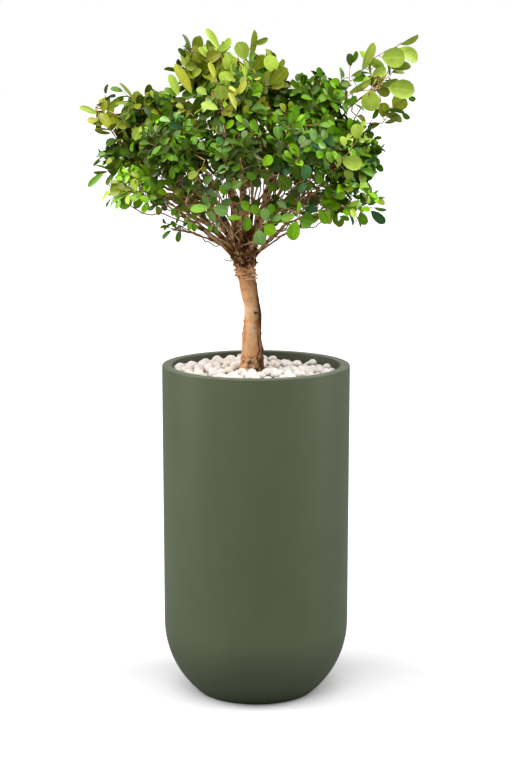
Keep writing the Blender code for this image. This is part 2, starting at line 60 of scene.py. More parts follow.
bpy.ops.object.select_all(action="DESELECT")
bpy.ops.object.camera_add(
    location=(0, -CAMERA_DISTANCE, CAMERA_HEIGHT),
    rotation=(math.pi / 2 - CAMERA_TIPPED_DOWN, 0, 0),
)
camera = bpy.context.object
camera.name = "camera"
camera.data.lens = LENS_MM
camera.data.sensor_width = SENSOR_MM
bpy.context.scene.camera = camera


# ---------------------------------------------------------------- floor and light
# A plain white studio floor under a broad soft light from above. A softer light and a low strip on
# each side lay the pale upright bands on the planter, with faint ones from the front and behind.

FLOOR_RADIUS = 60.0
FLOOR_SEEN = (0.71, 0.71, 0.71)
FLOOR_BOUNCE = (0.19, 0.19, 0.19)
BACKGROUND_WHITE = 1.0
ROOM_LIGHT = 0.26
# name, height above the horizon and turn from the front towards the right in degrees, strength, width
SOFT_LIGHTS = (
    ("overhead_light", 66, -8, 3.06, 60),
    ("front_light", 30, -34, 0.30, 24),
    ("left_light", 38, -86, 1.96, 36),
    ("right_light", 38, 90, 1.82, 36),
    ("left_strip", 3, -88, 0.42, 24),
    ("right_strip", 3, 88, 0.38, 24),
    ("back_light", 14, 180, 0.30, 60),
)


class Finish:
    """A material, with short ways to add the nodes of its pattern and to join them."""

    def __init__(self, name):
        self.material = bpy.data.materials.new(name)
        self.material.use_nodes = True
        self.nodes, self.links = self.material.node_tree.nodes, self.material.node_tree.links
        self.shader = self.nodes["Principled BSDF"]

    def add(self, kind, output, sockets, **settings):
        """A node with its settings. Each socket is joined to an output, or set to a plain value."""
        made = self.nodes.new("ShaderNode" + kind)
        for setting, value in settings.items():
            setattr(made, setting, value)
        for socket, value in sockets.items():
            self.give(made.inputs[socket], value)
        return made.outputs[output]

    def give(self, socket, value):
        if isinstance(value, bpy.types.NodeSocket):
            self.links.new(value, socket)
        else:
            socket.default_value = (*value, 1) if socket.type == "RGBA" else value

    def coat(self, colour, roughness, specular=0.5):
        """The shader's colour, its roughness and how strongly it reflects."""
        sockets = ("Base Color", "Roughness", "Specular IOR Level")
        for socket, value in zip(sockets, (colour, roughness, specular)):
            self.give(self.shader.inputs[socket], value)

    def place(self):
        return self.add("TexCoord", "Object", {})

    def attribute(self, name):
        return self.add("Attribute", "Fac", {}, attribute_name=name)

    def stretch(self, amounts, place=None):
        return self.add("Mapping", "Vector", {"Vector": place or self.place(), "Scale": amounts})

    def noise(self, scale, detail=4.0, roughness=0.55, distortion=0.0, place=None):
        sockets = {"Scale": scale, "Detail": detail, "Roughness": roughness, "Distortion": distortion}
        return self.add("TexNoise", "Fac", {"Vector": place or self.place(), **sockets})

    def ramp(self, value, *stops):
        """Colours spread over a value: stops are (position, colour)."""
        made = self.nodes.new("ShaderNodeValToRGB")
        while len(made.color_ramp.elements) < len(stops):
            made.color_ramp.elements.new(0.5)
        for element, (position, colour) in zip(made.color_ramp.elements, stops):
            element.position = position
            element.color = (*colour, 1)
        self.links.new(value, made.inputs["Fac"])
        return made.outputs["Color"]

    def range(self, value, low, high, from_low=0.0, from_high=1.0):
        sockets = {"From Min": from_low, "From Max": from_high, "To Min": low, "To Max": high}
        return self.add("MapRange", "Result", {"Value": value, **sockets})

    def mix(self, share, first, second, blend="MIX"):
        sockets = {"Factor": share, "A": first, "B": second}
        return self.add("Mix", "Result", sockets, data_type="RGBA", blend_type=blend)

    def bump(self, height, strength, distance, over=None):
        sockets = {"Height": height, "Strength": strength, "Distance": distance}
        normal = self.add("Bump", "Normal", {**sockets, "Normal": over} if over else sockets)
        self.links.new(normal, self.shader.inputs["Normal"])
        return normal


bpy.context.scene.view_settings.view_transform = "Standard"
bpy.context.scene.view_settings.look = "None"

bpy.ops.mesh.primitive_circle_add(vertices=64, radius=FLOOR_RADIUS, fill_type="NGON")
floor = bpy.context.object
floor.name = "studio_floor"
floor_paint = Finish("floor_paint")
floor_seen = floor_paint.add("LightPath", "Is Camera Ray", {})
floor_paint.coat(floor_paint.mix(floor_seen, FLOOR_BOUNCE, FLOOR_SEEN), 0.9, 0.0)
floor.data.materials.append(floor_paint.material)

room = bpy.data.worlds.new("room")
room.use_nodes = True
bpy.context.scene.world = room
nodes, links = room.node_tree.nodes, room.node_tree.links
seen_room, lit_room = nodes["Background"], nodes.new("ShaderNodeBackground")
for background, strength in ((seen_room, BACKGROUND_WHITE), (lit_room, ROOM_LIGHT)):
    background.inputs["Color"].default_value = (1, 1, 1, 1)
    background.inputs["Strength"].default_value = strength
room_mix = nodes.new("ShaderNodeMixShader")
links.new(nodes.new("ShaderNodeLightPath").outputs["Is Camera Ray"], room_mix.inputs[0])
links.new(lit_room.outputs[0], room_mix.inputs[1])
links.new(seen_room.outputs[0], room_mix.inputs[2])
links.new(room_mix.outputs[0], nodes["World Output"].inputs["Surface"])

for light_name, height, turn, strength, width in SOFT_LIGHTS:
    bpy.ops.object.light_add(type="SUN")
    light = bpy.context.object
    light.name = light_name
    height, turn = math.radians(height), math.radians(turn)
    level, rise = math.cos(height), math.sin(height)
    comes_from = Vector((level * math.sin(turn), -level * math.cos(turn), rise))
    light.rotation_euler = (-comes_from).to_track_quat("-Z", "Y").to_euler()
    light.data.energy = strength
    light.data.angle = math.radians(width)


# ---------------------------------------------------------------- planter
# A tall round-bottomed planter moulded in fibre stone, with a matt olive finish. It is one thick
# shell with a rolled-in rim, standing on its own flat foot.

RIM_RADIUS = 0.180
PLANTER_HEIGHT = 0.642
BOWL_RADIUS = 0.1786
BOWL_CENTRE_HEIGHT = 0.138
RIM_WIDTH = 0.019
RIM_DEPTH = 0.044
WALL = 0.010
FLOOR_THICKNESS = 0.014
RIM_EDGE = 0.0022
PLANTER_SIDES = 128
BOWL_STEPS = 18
LEVEL_FACE = 0.99
RIM_EDGE_STEPS = 4
OLIVE = (0.083, 0.101, 0.054)
# painted shade for the hollow's upper wall inside the rim
HOLLOW_SHADE_OLIVE = (0.034, 0.036, 0.022)


def face_nearest(mesh_object, height, upward):
    """Leaves only the level face nearest a height picked, in edit mode, and returns to edit mode."""
    bpy.ops.mesh.select_all(action="DESELECT")
    bpy.ops.object.mode_set(mode="OBJECT")
    level = [f for f in mesh_object.data.polygons if f.normal.z * upward > LEVEL_FACE]
    min(level, key=lambda f: abs(f.center.z - height)).select = True
    bpy.ops.object.mode_set(mode="EDIT")


def pull_ring(heights_and_radii, height, radius):
    """Draws the picked round face on to each height and radius in turn."""
    for next_height, next_radius in heights_and_radii:
        lift = {"value": (0, 0, next_height - height)}
        bpy.ops.mesh.extrude_region_move(TRANSFORM_OT_translate=lift)
        share = next_radius / radius
        bpy.ops.transform.resize(value=(share, share, 1), center_override=(0, 0, next_height))
        height, radius = next_height, next_radius


def bowl_rings(radius, lowest, steps):
    """Heights and radii down a round bowl, from its widest ring to a lower height."""
    end = math.asin((lowest - BOWL_CENTRE_HEIGHT) / radius)
    turns = [end * i / steps for i in range(1, steps + 1)]
    return [(BOWL_CENTRE_HEIGHT + radius * math.sin(t), radius * math.cos(t)) for t in turns]


def pick_alone(mesh_object):
    bpy.ops.object.select_all(action="DESELECT")
    mesh_object.select_set(True)
    bpy.context.view_layer.objects.active = mesh_object


def smooth_round(mesh_object, degrees):
    pick_alone(mesh_object)
    bpy.ops.object.shade_smooth_by_angle(angle=math.radians(degrees))


def settle(mesh_object):
    """Puts the object's place into its mesh, so that the object itself lies at the origin."""
    pick_alone(mesh_object)
    bpy.ops.object.transform_apply(location=True, rotation=True, scale=True)


def shades(colour, darker, lighter):
    return tuple(c * darker for c in colour), tuple(c * lighter for c in colour)


wall_height = PLANTER_HEIGHT - BOWL_CENTRE_HEIGHT
wall_middle = (0, 0, BOWL_CENTRE_HEIGHT + wall_height / 2)
bpy.ops.mesh.primitive_cylinder_add(
    vertices=PLANTER_SIDES, radius=RIM_RADIUS, depth=wall_height, location=wall_middle
)
planter = bpy.context.object
planter.name = "planter_shell"
settle(planter)
bpy.ops.object.mode_set(mode="EDIT")
face_nearest(planter, BOWL_CENTRE_HEIGHT, -1)
taper = BOWL_RADIUS / RIM_RADIUS
bpy.ops.transform.resize(value=(taper, taper, 1), center_override=(0, 0, BOWL_CENTRE_HEIGHT))
pull_ring(bowl_rings(BOWL_RADIUS, 0.0, BOWL_STEPS), BOWL_CENTRE_HEIGHT, BOWL_RADIUS)
face_nearest(planter, PLANTER_HEIGHT, 1)
lip = RIM_RADIUS - RIM_WIDTH
lip_bottom = PLANTER_HEIGHT - RIM_DEPTH
inside = BOWL_RADIUS - WALL
bpy.ops.mesh.inset(thickness=RIM_WIDTH)
hollow = [(lip_bottom, lip), (lip_bottom - RIM_WIDTH + WALL, inside), (BOWL_CENTRE_HEIGHT, inside)]
pull_ring(hollow + bowl_rings(inside, FLOOR_THICKNESS, BOWL_STEPS // 2), PLANTER_HEIGHT, lip)
bpy.ops.object.mode_set(mode="OBJECT")
edge = planter.modifiers.new("soft_edge", "BEVEL")
edge.width = RIM_EDGE
edge.segments = RIM_EDGE_STEPS
edge.limit_method = "ANGLE"
edge.angle_limit = math.radians(60)
bpy.ops.object.modifier_apply(modifier=edge.name)
smooth_round(planter, 40)

# the hollow's upper wall, above the pebbles, is darkened with painted shade
olive = Finish("matt_olive")
from_axis = olive.add("VectorMath", "Value", {0: olive.stretch((1, 1, 0))}, operation="LENGTH")
hollow_side = olive.range(from_axis, 1.0, 0.0, lip - 0.001, lip + 0.002)
height = olive.add("SeparateXYZ", "Z", {0: olive.place()})
upper_part = olive.range(height, 0.0, 1.0, BOWL_RADIUS, BOWL_RADIUS + 0.01)
hollow_shade_mask = olive.add("Math", "Value", {0: hollow_side, 1: upper_part}, operation="MULTIPLY")
dark_olive, light_olive = shades(OLIVE, 0.95, 1.05)
clean = olive.ramp(olive.noise(9.0, 3.0), (0.3, dark_olive), (0.7, light_olive))
grain = olive.noise(900.0, 2.0)
olive.coat(olive.mix(hollow_shade_mask, clean, HOLLOW_SHADE_OLIVE), olive.range(grain, 0.38, 0.45), 0.38)
fine_normal = olive.bump(grain, 0.10, 0.0004)
olive.bump(olive.noise(14.0, 2.0), 0.05, 0.004, fine_normal)
planter.data.materials.append(olive.material)
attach(planter, "root")
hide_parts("planter")


# ---------------------------------------------------------------- potting mix
# Dark, damp, crumbly potting mix fills the planter to a little under its rim. It shows only
# between the pebbles, so its own solid stays and takes a crumbly finish.

POTTING_DARK = (0.010, 0.007, 0.005)
POTTING_LIGHT = (0.050, 0.034, 0.022)

crumb = Finish("damp_crumb")
crumbs = crumb.noise(260.0, 6.0, 0.7)
crumb.coat(crumb.ramp(crumbs, (0.35, POTTING_DARK), (0.75, POTTING_LIGHT)), crumb.range(crumbs, 0.80, 0.97))
crumb.bump(crumbs, 0.8, 0.003)
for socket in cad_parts["soil"].material_slots:
    socket.material = crumb.material


# ---------------------------------------------------------------- pebbles
# Rounded white marble pebbles, about as big as a marble, heaped loosely over the potting mix and
# a little higher in the middle. They are packed by letting them sink and push one another apart.

SOIL_TOP = 0.604
TRUNK_Y = -0.010
TRUNK_FOOT = (-0.009, TRUNK_Y)
TRUNK_FOOT_RADIUS = 0.0275
PEBBLE_COUNT = 300
PEBBLE_HALF = (0.0102, 0.0094, 0.0082)
PEBBLE_SIZE_RANGE = (0.86, 1.12)
PEBBLE_SIDE_RANGE = (0.92, 1.08)
PEBBLE_TILT = 0.35
PEBBLE_HIGH = 0.0375
PEBBLE_LOW = 0.0345
PEBBLE_DEPTH = 0.011
PACKING_ROUNDS = 400
SINKING = 0.00016
PUSH = 0.3
RIM_CLEARANCE = 0.0005
PEBBLE_LUMP = 0.10
WHITE_MARBLE = (0.71, 0.67, 0.62)
# painted shade for the pebbles' lower halves
SHADED_MARBLE = (0.12, 0.090, 0.068)

rng = random.Random(23)
packing = np.random.default_rng(23)
pebble_size = packing.uniform(*PEBBLE_SIZE_RANGE, PEBBLE_COUNT)
ball = pebble_size * PEBBLE_HALF[1]
turn = packing.uniform(0, math.tau, PEBBLE_COUNT)
out = (lip - 0.008) * np.sqrt(packing.uniform(0.02, 1, PEBBLE_COUNT))
heights = packing.uniform(SOIL_TOP, SOIL_TOP + 0.05, PEBBLE_COUNT)
spots = np.stack([out * np.cos(turn), out * np.sin(turn), heights], axis=1)
for _ in range(PACKING_ROUNDS):
    spots[:, 2] -= SINKING
    between = spots[:, None] - spots[None]
    apart = np.linalg.norm(between, axis=2) + 1e-9
    overlap = np.clip(ball[:, None] + ball[None] - apart, 0, None)
    np.fill_diagonal(overlap, 0)
    spots += (between / apart[..., None] * overlap[..., None]).sum(axis=1) * PUSH
    from_middle = np.linalg.norm(spots[:, :2], axis=1)
    most = lip - ball - RIM_CLEARANCE
    spots[:, :2] *= np.minimum(1, most / from_middle)[:, None]
    share = np.minimum(1, from_middle / lip)
    ceiling = SOIL_TOP + PEBBLE_HIGH + (PEBBLE_LOW - PEBBLE_HIGH) * share**3 - ball * 0.86
    spots[:, 2] = np.clip(spots[:, 2], ceiling - PEBBLE_DEPTH, ceiling)
    from_trunk = spots[:, :2] - np.array(Vector(TRUNK_FOOT))
    gap = np.linalg.norm(from_trunk, axis=1)
    clear = TRUNK_FOOT_RADIUS + ball * 0.9
    spots[:, :2] += from_trunk / gap[:, None] * np.clip(clear - gap, 0, None)[:, None]

bpy.ops.object.select_all(action="DESELECT")
bpy.ops.mesh.primitive_ico_sphere_add(subdivisions=2, radius=1)
pattern = bpy.context.object
round_points = [vert.co.copy() for vert in pattern.data.vertices]
round_faces = [tuple(face.vertices) for face in pattern.data.polygons]
bpy.data.objects.remove(pattern)

points, faces, warmth, grime = [], [], [], []
for spot, size in zip(spots, pebble_size):
    tilt = Matrix.Rotation(rng.gauss(0, PEBBLE_TILT), 3, "X")
    tilt = tilt @ Matrix.Rotation(rng.gauss(0, PEBBLE_TILT), 3, "Y")
    tilt = tilt @ Matrix.Rotation(rng.uniform(0, math.tau), 3, "Z")
    half = [axis * size * rng.uniform(*PEBBLE_SIDE_RANGE) for axis in PEBBLE_HALF]
    own = Vector([rng.uniform(0, 90) for _ in range(3)])
    first = len(points)
    for point in round_points:
        lump = 1 + PEBBLE_LUMP * noise.noise(point * 0.9 + own)
        turned = tilt @ (Vector([p * h for p, h in zip(point, half)]) * lump)
        points.append(Vector(spot) + turned)
        # each pebble is darkened towards its underside with painted shade
        grime.append(min(1.0, max(0.0, 0.22 - turned.z / half[2] * 1.2)))
    faces += [tuple(first + corner for corner in face) for face in round_faces]
    warmth += [rng.random()] * len(round_points)


def mesh_piece(name, points, faces, finish, **attributes):
    """An object made of listed points and faces, which rides on the plant's one body. Each
    attribute is a number at each point, for its finish to read."""
    mesh = bpy.data.meshes.new(name)
    mesh.from_pydata(points, [], faces)
    mesh.validate()
    made = bpy.data.objects.new(name, mesh)
    bpy.context.scene.collection.objects.link(made)
    mesh.shade_smooth()
    mesh.materials.append(finish.material)
    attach(made, "root")
    add_attributes(made, **attributes)
    return made


def add_attributes(mesh_object, **attributes):
    for name, values in attributes.items():
        made = mesh_object.data.attributes.new(name, "FLOAT", "POINT")
        made.data.foreach_set("value", values)


marble = Finish("tumbled_marble")
tumbled = marble.noise(120.0, 4.0)
warm_stops = (
    (0.0, (0.68, 0.63, 0.58)), (0.3, WHITE_MARBLE), (0.7, (0.84, 0.80, 0.76)), (1.0, (0.76, 0.66, 0.58))
)
warm = marble.ramp(marble.attribute("warmth"), *warm_stops)
tumble_stain = marble.ramp(tumbled, (0.32, (0.80, 0.74, 0.68)), (0.62, (1, 1, 1)))
washed = marble.mix(0.6, warm, tumble_stain, "MULTIPLY")
underside_shaded = marble.mix(marble.attribute("grime"), washed, SHADED_MARBLE)
marble.coat(underside_shaded, marble.range(tumbled, 0.45, 0.70))
marble.bump(marble.noise(420.0, 3.0), 0.25, 0.0008)
pebbles = mesh_piece("pebble_dressing", points, faces, marble, warmth=warmth, grime=grime)
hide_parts("pebbles")


# ---------------------------------------------------------------- trunk
# One clear stem, smooth and tan, with pale cross scars, a few pruned nubs, a root that runs up
# its right side from the flare, a ring of peeling bark, and a dark fibrous knuckle at its head.

TOUCH_GAP = 0.0003
# height, sideways place and radius at each station
TRUNK_STATIONS = (
    (SOIL_TOP + TOUCH_GAP, -0.009, 0.0290),
    (0.633, -0.009, 0.0250),
    (0.662, -0.007, 0.0210),
    (0.700, -0.007, 0.0175),
    (0.740, -0.006, 0.0162),
    (0.780, -0.0115, 0.0150),
    (0.830, -0.021, 0.0176),
    (0.862, -0.024, 0.0250),
    (0.878, -0.025, 0.0250),
    (0.892, -0.026, 0.0140),
)
TRUNK_RINGS = 52
TRUNK_SIDES = 24
KNUCKLE = Vector((-0.0245, TRUNK_Y, 0.866))
KNUCKLE_FROM, KNUCKLE_TO = 0.829, 0.835
COLLAR_HEIGHT, COLLAR_SPREAD = 0.8180, 0.0100
# bulges of the left side: height, spread, size
BULGES = ((0.698, 0.024, 0.0020), (0.786, 0.018, 0.0024))
# nubs: height, turn round the trunk in degrees from the right towards the back, size
NUBS = (
    (0.7275, 196, 0.0022),
    (0.703, 188, 0.0020),
    (0.703, -8, 0.0016),
    (0.798, 10, 0.0014),
    (0.744, -72, 0.0010),
    (0.812, -140, 0.0012),
    (0.813, -108, 0.0010),
)
NUB_WIDTH = 0.0026
# cross scars: height, depth
SCARS = (
    (0.6585, 0.0020), (0.797, 0.0008), (0.769, 0.0003), (0.7435, 0.0004), (0.716, 0.0004), (0.688, 0.0004)
)
SCAR_WIDTH = 0.0009
FLARE_TOP, FLARE_LENGTH = 0.655, 0.045
FOOT_TOP, FOOT_LENGTH = 0.745, 0.08
HEAD_FROM, HEAD_TO = 0.745, 0.800
ROOT_TURN, ROOT_TOP, ROOT_HEIGHT, GROOVE_DEPTH = math.radians(-38), 0.706, 0.0030, 0.0012
TAN_BARK = (0.95, 0.535, 0.270)
SCAR_BARK = (0.50, 0.22, 0.10)
SPECK_BARK = (0.30, 0.120, 0.050)
# the dark colour of the bark's own dark marks, and of its painted shade
DARK_MARK_AND_SHADE_BARK = (0.060, 0.022, 0.007)


def smooth_read(stations, height):
    """Sideways place and radius at a height, on a smooth curve through the stations."""
    heights = [s[0] for s in stations]
    after = next((i for i, h in enumerate(heights) if h >= height), len(heights) - 1)
    i = max(0, after - 1)
    pick = [stations[min(max(k, 0), len(stations) - 1)] for k in (i - 1, i, i + 1, i + 2)]
    t = (height - pick[1][0]) / (pick[2][0] - pick[1][0])
    found = []
    for column in (1, 2):
        a, b, c, d = (p[column] for p in pick)
        bend = 2 * b + (c - a) * t + (2 * a - 5 * b + 4 * c - d) * t**2 + (3 * b - a - 3 * c + d) * t**3
        found.append(bend / 2)
    return found


def hump(value, middle, spread):
    return math.exp(-(((value - middle) / spread) ** 2))


def ease(value, low, high):
    t = min(1.0, max(0.0, (value - low) / (high - low)))
    return t * t * (3 - 2 * t)


def round_noise(turn, size, height):
    """Random values round a stem, which meet where the turn closes. A large size makes them fine."""
    return noise.noise(Vector((math.cos(turn) * size, math.sin(turn) * size, height)))


def wander_up(first, second, height):
    """A line's own slow wander from side to side with height."""
    return noise.noise(Vector((first, second, height * 60)))


trunk_low, trunk_high = TRUNK_STATIONS[0][0], TRUNK_STATIONS[-1][0]
side, radius = smooth_read(TRUNK_STATIONS, trunk_low)
foot = (side, TRUNK_Y, trunk_low)
bpy.ops.object.select_all(action="DESELECT")
bpy.ops.mesh.primitive_circle_add(vertices=TRUNK_SIDES, radius=radius, fill_type="NGON", location=foot)
trunk = bpy.context.object
trunk.name = "trunk_bark"
settle(trunk)
bpy.ops.object.mode_set(mode="EDIT")
bpy.ops.mesh.select_all(action="SELECT")
for ring in range(1, TRUNK_RINGS + 1):
    height = trunk_low + (trunk_high - trunk_low) * ring / TRUNK_RINGS
    next_side, next_radius = smooth_read(TRUNK_STATIONS, height)
    rise = (next_side - side, 0, (trunk_high - trunk_low) / TRUNK_RINGS)
    bpy.ops.mesh.extrude_region_move(TRANSFORM_OT_translate={"value": rise})
    share = next_radius / radius
    bpy.ops.transform.resize(value=(share, share, 1), center_override=(next_side, TRUNK_Y, height))
    side, radius = next_side, next_radius
bpy.ops.mesh.select_all(action="SELECT")
bpy.ops.mesh.normals_make_consistent(inside=False)
bpy.ops.object.mode_set(mode="OBJECT")
round_off = trunk.modifiers.new("round_off", "SUBSURF")
round_off.levels = 2
round_off.render_levels = 2
bpy.ops.object.modifier_apply(modifier=round_off.name)

darkness, on_knuckle = [], []
for vert in trunk.data.vertices:
    height = vert.co.z
    middle, radius = smooth_read(TRUNK_STATIONS, height)
    away = Vector((vert.co.x - middle, vert.co.y - TRUNK_Y, 0))
    turn = math.atan2(away.y, away.x)
    skin = Vector((away.x, away.y, height))

    # lumps and grain all over, bulges on the left, and a ribbed flare at the foot
    lift = 0.0011 * noise.noise(skin * 38) + 0.0006 * noise.noise(skin * 95)
    lift += 0.00035 * noise.noise(Vector((skin.x * 420, skin.y * 420, skin.z * 90)))
    lift += max(0.0, -math.cos(turn)) * sum(size * hump(height, at, spread) for at, spread, size in BULGES)
    flare = ease(FLARE_TOP - height, 0, FLARE_LENGTH)
    lift += flare * (0.0022 * math.cos(3 * turn + 0.8) + 0.0012 * noise.noise(skin * 120))

    # the root up the right side, with a groove beside it that is darkened with painted shade
    root_width = 0.34 + 0.16 * flare
    off_root = turn - ROOT_TURN - (height - 0.66) * 4.0 - 0.40 * wander_up(3, 8, height)
    root = hump(off_root, 0, root_width) * ease(ROOT_TOP - height, 0, 0.035)
    groove = hump(off_root, -root_width * 1.15, 0.06) * ease(ROOT_TOP - height, -0.02, 0.02)
    lift += ROOT_HEIGHT * root - GROOVE_DEPTH * groove
    dark = (0.62 + 0.5 * noise.noise(skin * 110)) * groove

    # cross scars, broken here and there, and pruned nubs
    for scar_height, depth in SCARS:
        at = scar_height + 0.0045 * round_noise(turn, 2.6, scar_height * 90)
        cut = hump(height, at, SCAR_WIDTH) * ease(round_noise(turn, 2, scar_height * 300), -0.25, 0.2)
        lift += depth * 0.5 * hump(height, at - 0.0022, 0.002) - depth * cut
        dark += 420 * depth * cut
    for nub_height, nub_turn, size in NUBS:
        around = (turn - math.radians(nub_turn) + math.pi) % math.tau - math.pi
        near = hump(math.hypot(around * radius, height - nub_height), 0, NUB_WIDTH)
        lift += size * near
        dark += 0.9 * near

    # the collar of torn bark layers under the knuckle
    ragged = 0.006 * round_noise(turn, 2.3, 4.0)
    collar = hump(height, COLLAR_HEIGHT + ragged, COLLAR_SPREAD)
    torn = round_noise(turn, 2.4, height * 380)
    layers = (height * 210 + 1.4 * round_noise(turn, 1.3, 9)) % 1
    lift += collar * (0.0012 + 0.0016 * layers)
    dark += (0.34 + 0.9 * torn) * ease(height + 0.5 * ragged, 0.8225, 0.8265)
    layer_edge = hump(layers, 0.0, 0.10) + hump(layers, 1.0, 0.10)
    dark += collar * (0.7 * max(0.0, torn - 0.1) + 0.8 * layer_edge)

    # the shaggy knuckle, with a hollow in its front that is darkened with painted shade
    knuckle = ease(height + 0.4 * ragged, KNUCKLE_FROM, KNUCKLE_TO)
    fibres = round_noise(turn, 7, height * 26)
    shaggy = noise.noise(skin * 120)
    hollow = hump(turn, -1.45 + 0.3 * wander_up(7, 1, height), 0.34)
    lift += knuckle * (0.0030 * fibres + 0.0032 * shaggy + 0.0018 - 0.0022 * hollow)
    dark += knuckle * (0.06 - 1.2 * fibres - 1.0 * shaggy + 0.75 * hollow)

    # painted shade down the right side, and old brown bark at the foot and on the root
    edge_turn = -1.85 + 0.4 * wander_up(5, 2, height) + 0.5 * noise.noise(skin * 90)
    shaded_right_side = ease(turn, edge_turn, -0.45) * ease(1.2 - turn, 0, 1) * ease(0.826 - height, 0, 0.01)
    dark += shaded_right_side * (0.66 + 0.34 * hump(height, 0.740, 0.050) + 0.35 * noise.noise(skin * 60))
    dark += (0.34 + 1.1 * noise.noise(skin * 130)) * ease(0.664 - height, 0, 0.014) + 0.22 * root

    if away.length > 1e-5:
        vert.co += away.normalized() * lift * min(1.0, away.length / radius)
    darkness.append(min(1.0, max(0.0, dark)))
    on_knuckle.append(knuckle)
heights = [vert.co.z for vert in trunk.data.vertices]
# the lower trunk is painted darker towards its foot: partly its browner bark, partly painted shade that
# offsets the crown's shade on the upper trunk
near_foot = [ease(FOOT_TOP - height, 0, FOOT_LENGTH) for height in heights]
near_head = [ease(height, HEAD_FROM, HEAD_TO) for height in heights]
add_attributes(trunk, foot=near_foot, head=near_head, darkness=darkness, knuckle=on_knuckle)
smooth_round(trunk, 70)

bark = Finish("tan_bark")
patches = bark.noise(42.0, 5.0, 0.6, 0.4)
tan_stops = (
    (0.34, (0.66, 0.24, 0.08)), (0.43, TAN_BARK), (0.54, (0.97, 0.61, 0.34)), (0.68, (0.98, 0.72, 0.50))
)
across = bark.noise(60.0, 4.0, 0.6, place=bark.stretch((1, 1, 7)))
banded = bark.mix(bark.range(across, 0.0, 0.32, 0.52, 0.70), bark.ramp(patches, *tan_stops), SCAR_BARK)
# darker towards the foot: browner bark, and painted shade that offsets the crown's shade higher up
banded = bark.mix(bark.attribute("foot"), banded, (0.66, 0.57, 0.50), "MULTIPLY")
banded = bark.mix(bark.attribute("head"), banded, (1.0, 0.86, 0.72), "MULTIPLY")
specks = bark.noise(120.0, 4.0, 0.7, place=bark.stretch((1, 1, 1.3)))
speckled = bark.mix(bark.range(specks, 0.0, 0.60, 0.62, 0.70), banded, SPECK_BARK)
fibre_noise = bark.noise(130.0, 4.0, 0.7, place=bark.stretch((2, 2, 1)))
fibre_stops = ((0.40, (0.008, 0.003, 0.001)), (0.49, (0.240, 0.096, 0.032)), (0.57, (0.860, 0.480, 0.240)))
aged = bark.mix(bark.attribute("knuckle"), speckled, bark.ramp(fibre_noise, *fibre_stops))
# darkness brings in the bark's dark marks and foot, and the painted shade of the groove, the knuckle's hollow
# and the right side
marked_and_shaded = bark.mix(bark.attribute("darkness"), aged, DARK_MARK_AND_SHADE_BARK)
bark.coat(marked_and_shaded, bark.range(patches, 0.62, 0.85), 0.08)
rough_normal = bark.bump(across, 0.22, 0.0010)
bark.bump(specks, 0.35, 0.0006, rough_normal)
trunk.data.materials.append(bark.material)
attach(trunk, "root")
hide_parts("trunk")


# ---------------------------------------------------------------- boughs
# Slender red-brown boughs fan out of the knuckle, one to each leafy mass, round one thick leader.
# Each forks soon after its root, so that a sheaf of bare stems shows under the leaves. Short dead
# stubs and whiskers stand on the knuckle, where the tree was headed back.

KNUCKLE_RADIUS = 0.0245
ROOT_DEPTH = 0.010
ROOT_SPACE = 0.0026
SPREAD_ROUNDS = 400
LOW_RISE = 0.707
LOW_DROP = Vector((0, 0, 0.030))
BOUGH_END_LENGTH = 0.006
BOUGH_TIP_RADIUS = 0.0024
BOUGH_TAPER = 0.8
BOUGH_LEAN_OUT = 0.25
BOUGH_START_HANDLE = 0.40
BOUGH_END_HANDLE = 0.20
BOUGH_WANDER = 0.005
BOUGH_TONES = (0.25, 1.0)
THIN_START_HANDLE = 0.12
BOUGH_RISE = Vector((0, 0, 0.4))
ENTRY_SHARE = 0.86
ENTRY_DROP = 0.4
BOUGH_STEPS = 36
# how far from the knuckle each bough is darkened with painted shade, where the boughs crowd together
ROOT_SHADE_LENGTH = 0.06
THICK_ROOT, THIN_ROOT = 0.008, 0.004
THINNER = 0.64
SWELLING = 1.1
SWELLING_LENGTH = 0.024
FORKS = 4
FORK_FROM, FORK_TO = 0.04, 0.50
FORK_STEPS = 22
FORK_START_HANDLE, FORK_END_HANDLE = 0.40, 0.22
FORK_SPREAD = 0.22
FORK_REACH = 0.62
FORK_WANDER = 0.012
FORK_RADIUS = (0.0012, 0.0022)
FORK_TIP_RADIUS = 0.0011
ONE_FORK_MASSES = ("wing_left", "wing_right")
THICK_SIDES, BOUGH_SIDES, FORK_SIDES, STUB_SIDES, WHISKER_SIDES = 20, 12, 7, 8, 5
BOUGH_RELIEF, FORK_RELIEF, STUB_RELIEF, WHISKER_RELIEF, FLAKE_RELIEF = 0.24, 0.2, 0.35, 0.1, 0.3
# how many, and their ranges of height, length and width
STUB_COUNT, STUB_HEIGHTS, STUB_LENGTHS, STUB_WIDTHS = 26, (0.828, 0.884), (0.006, 0.014), (0.0018, 0.0042)
STUB_SHARES = (1, 1, 0.95, 0.85, 0.6)
WHISKER_COUNT, WHISKER_HEIGHTS, WHISKER_LENGTHS = 22, (0.836, 0.890), (0.010, 0.024)
WHISKER_RADII, HANGING_RADII, INNER_RADII = (0.0014, 0.0008), (0.0016, 0.0013), (0.0021, 0.0012)
FLAKE_COUNT, FLAKE_HEIGHTS, FLAKE_WIDTHS, FLAKE_SPREADS = 18, (-0.010, 0.013), (0.0014, 0.0026), (0.5, 1.3)
FLAKE_STEPS, FLAKE_STAND, FLAKE_CURL = 8, 0.0024, 0.0032

# flakes and pruned stubs that show singly: height, turn in degrees from the right towards the back,
# length and radius
SET_FLAKES = ((0.8170, 184, 0.0110, 0.0018), (0.8215, 196, 0.0080, 0.0022), (0.8240, -14, 0.0065, 0.0018))
SET_STUBS = ((0.8335, -12, 0.0135, 0.0024), (0.8310, 193, 0.0100, 0.0026), (0.8560, -60, 0.0150, 0.0036))
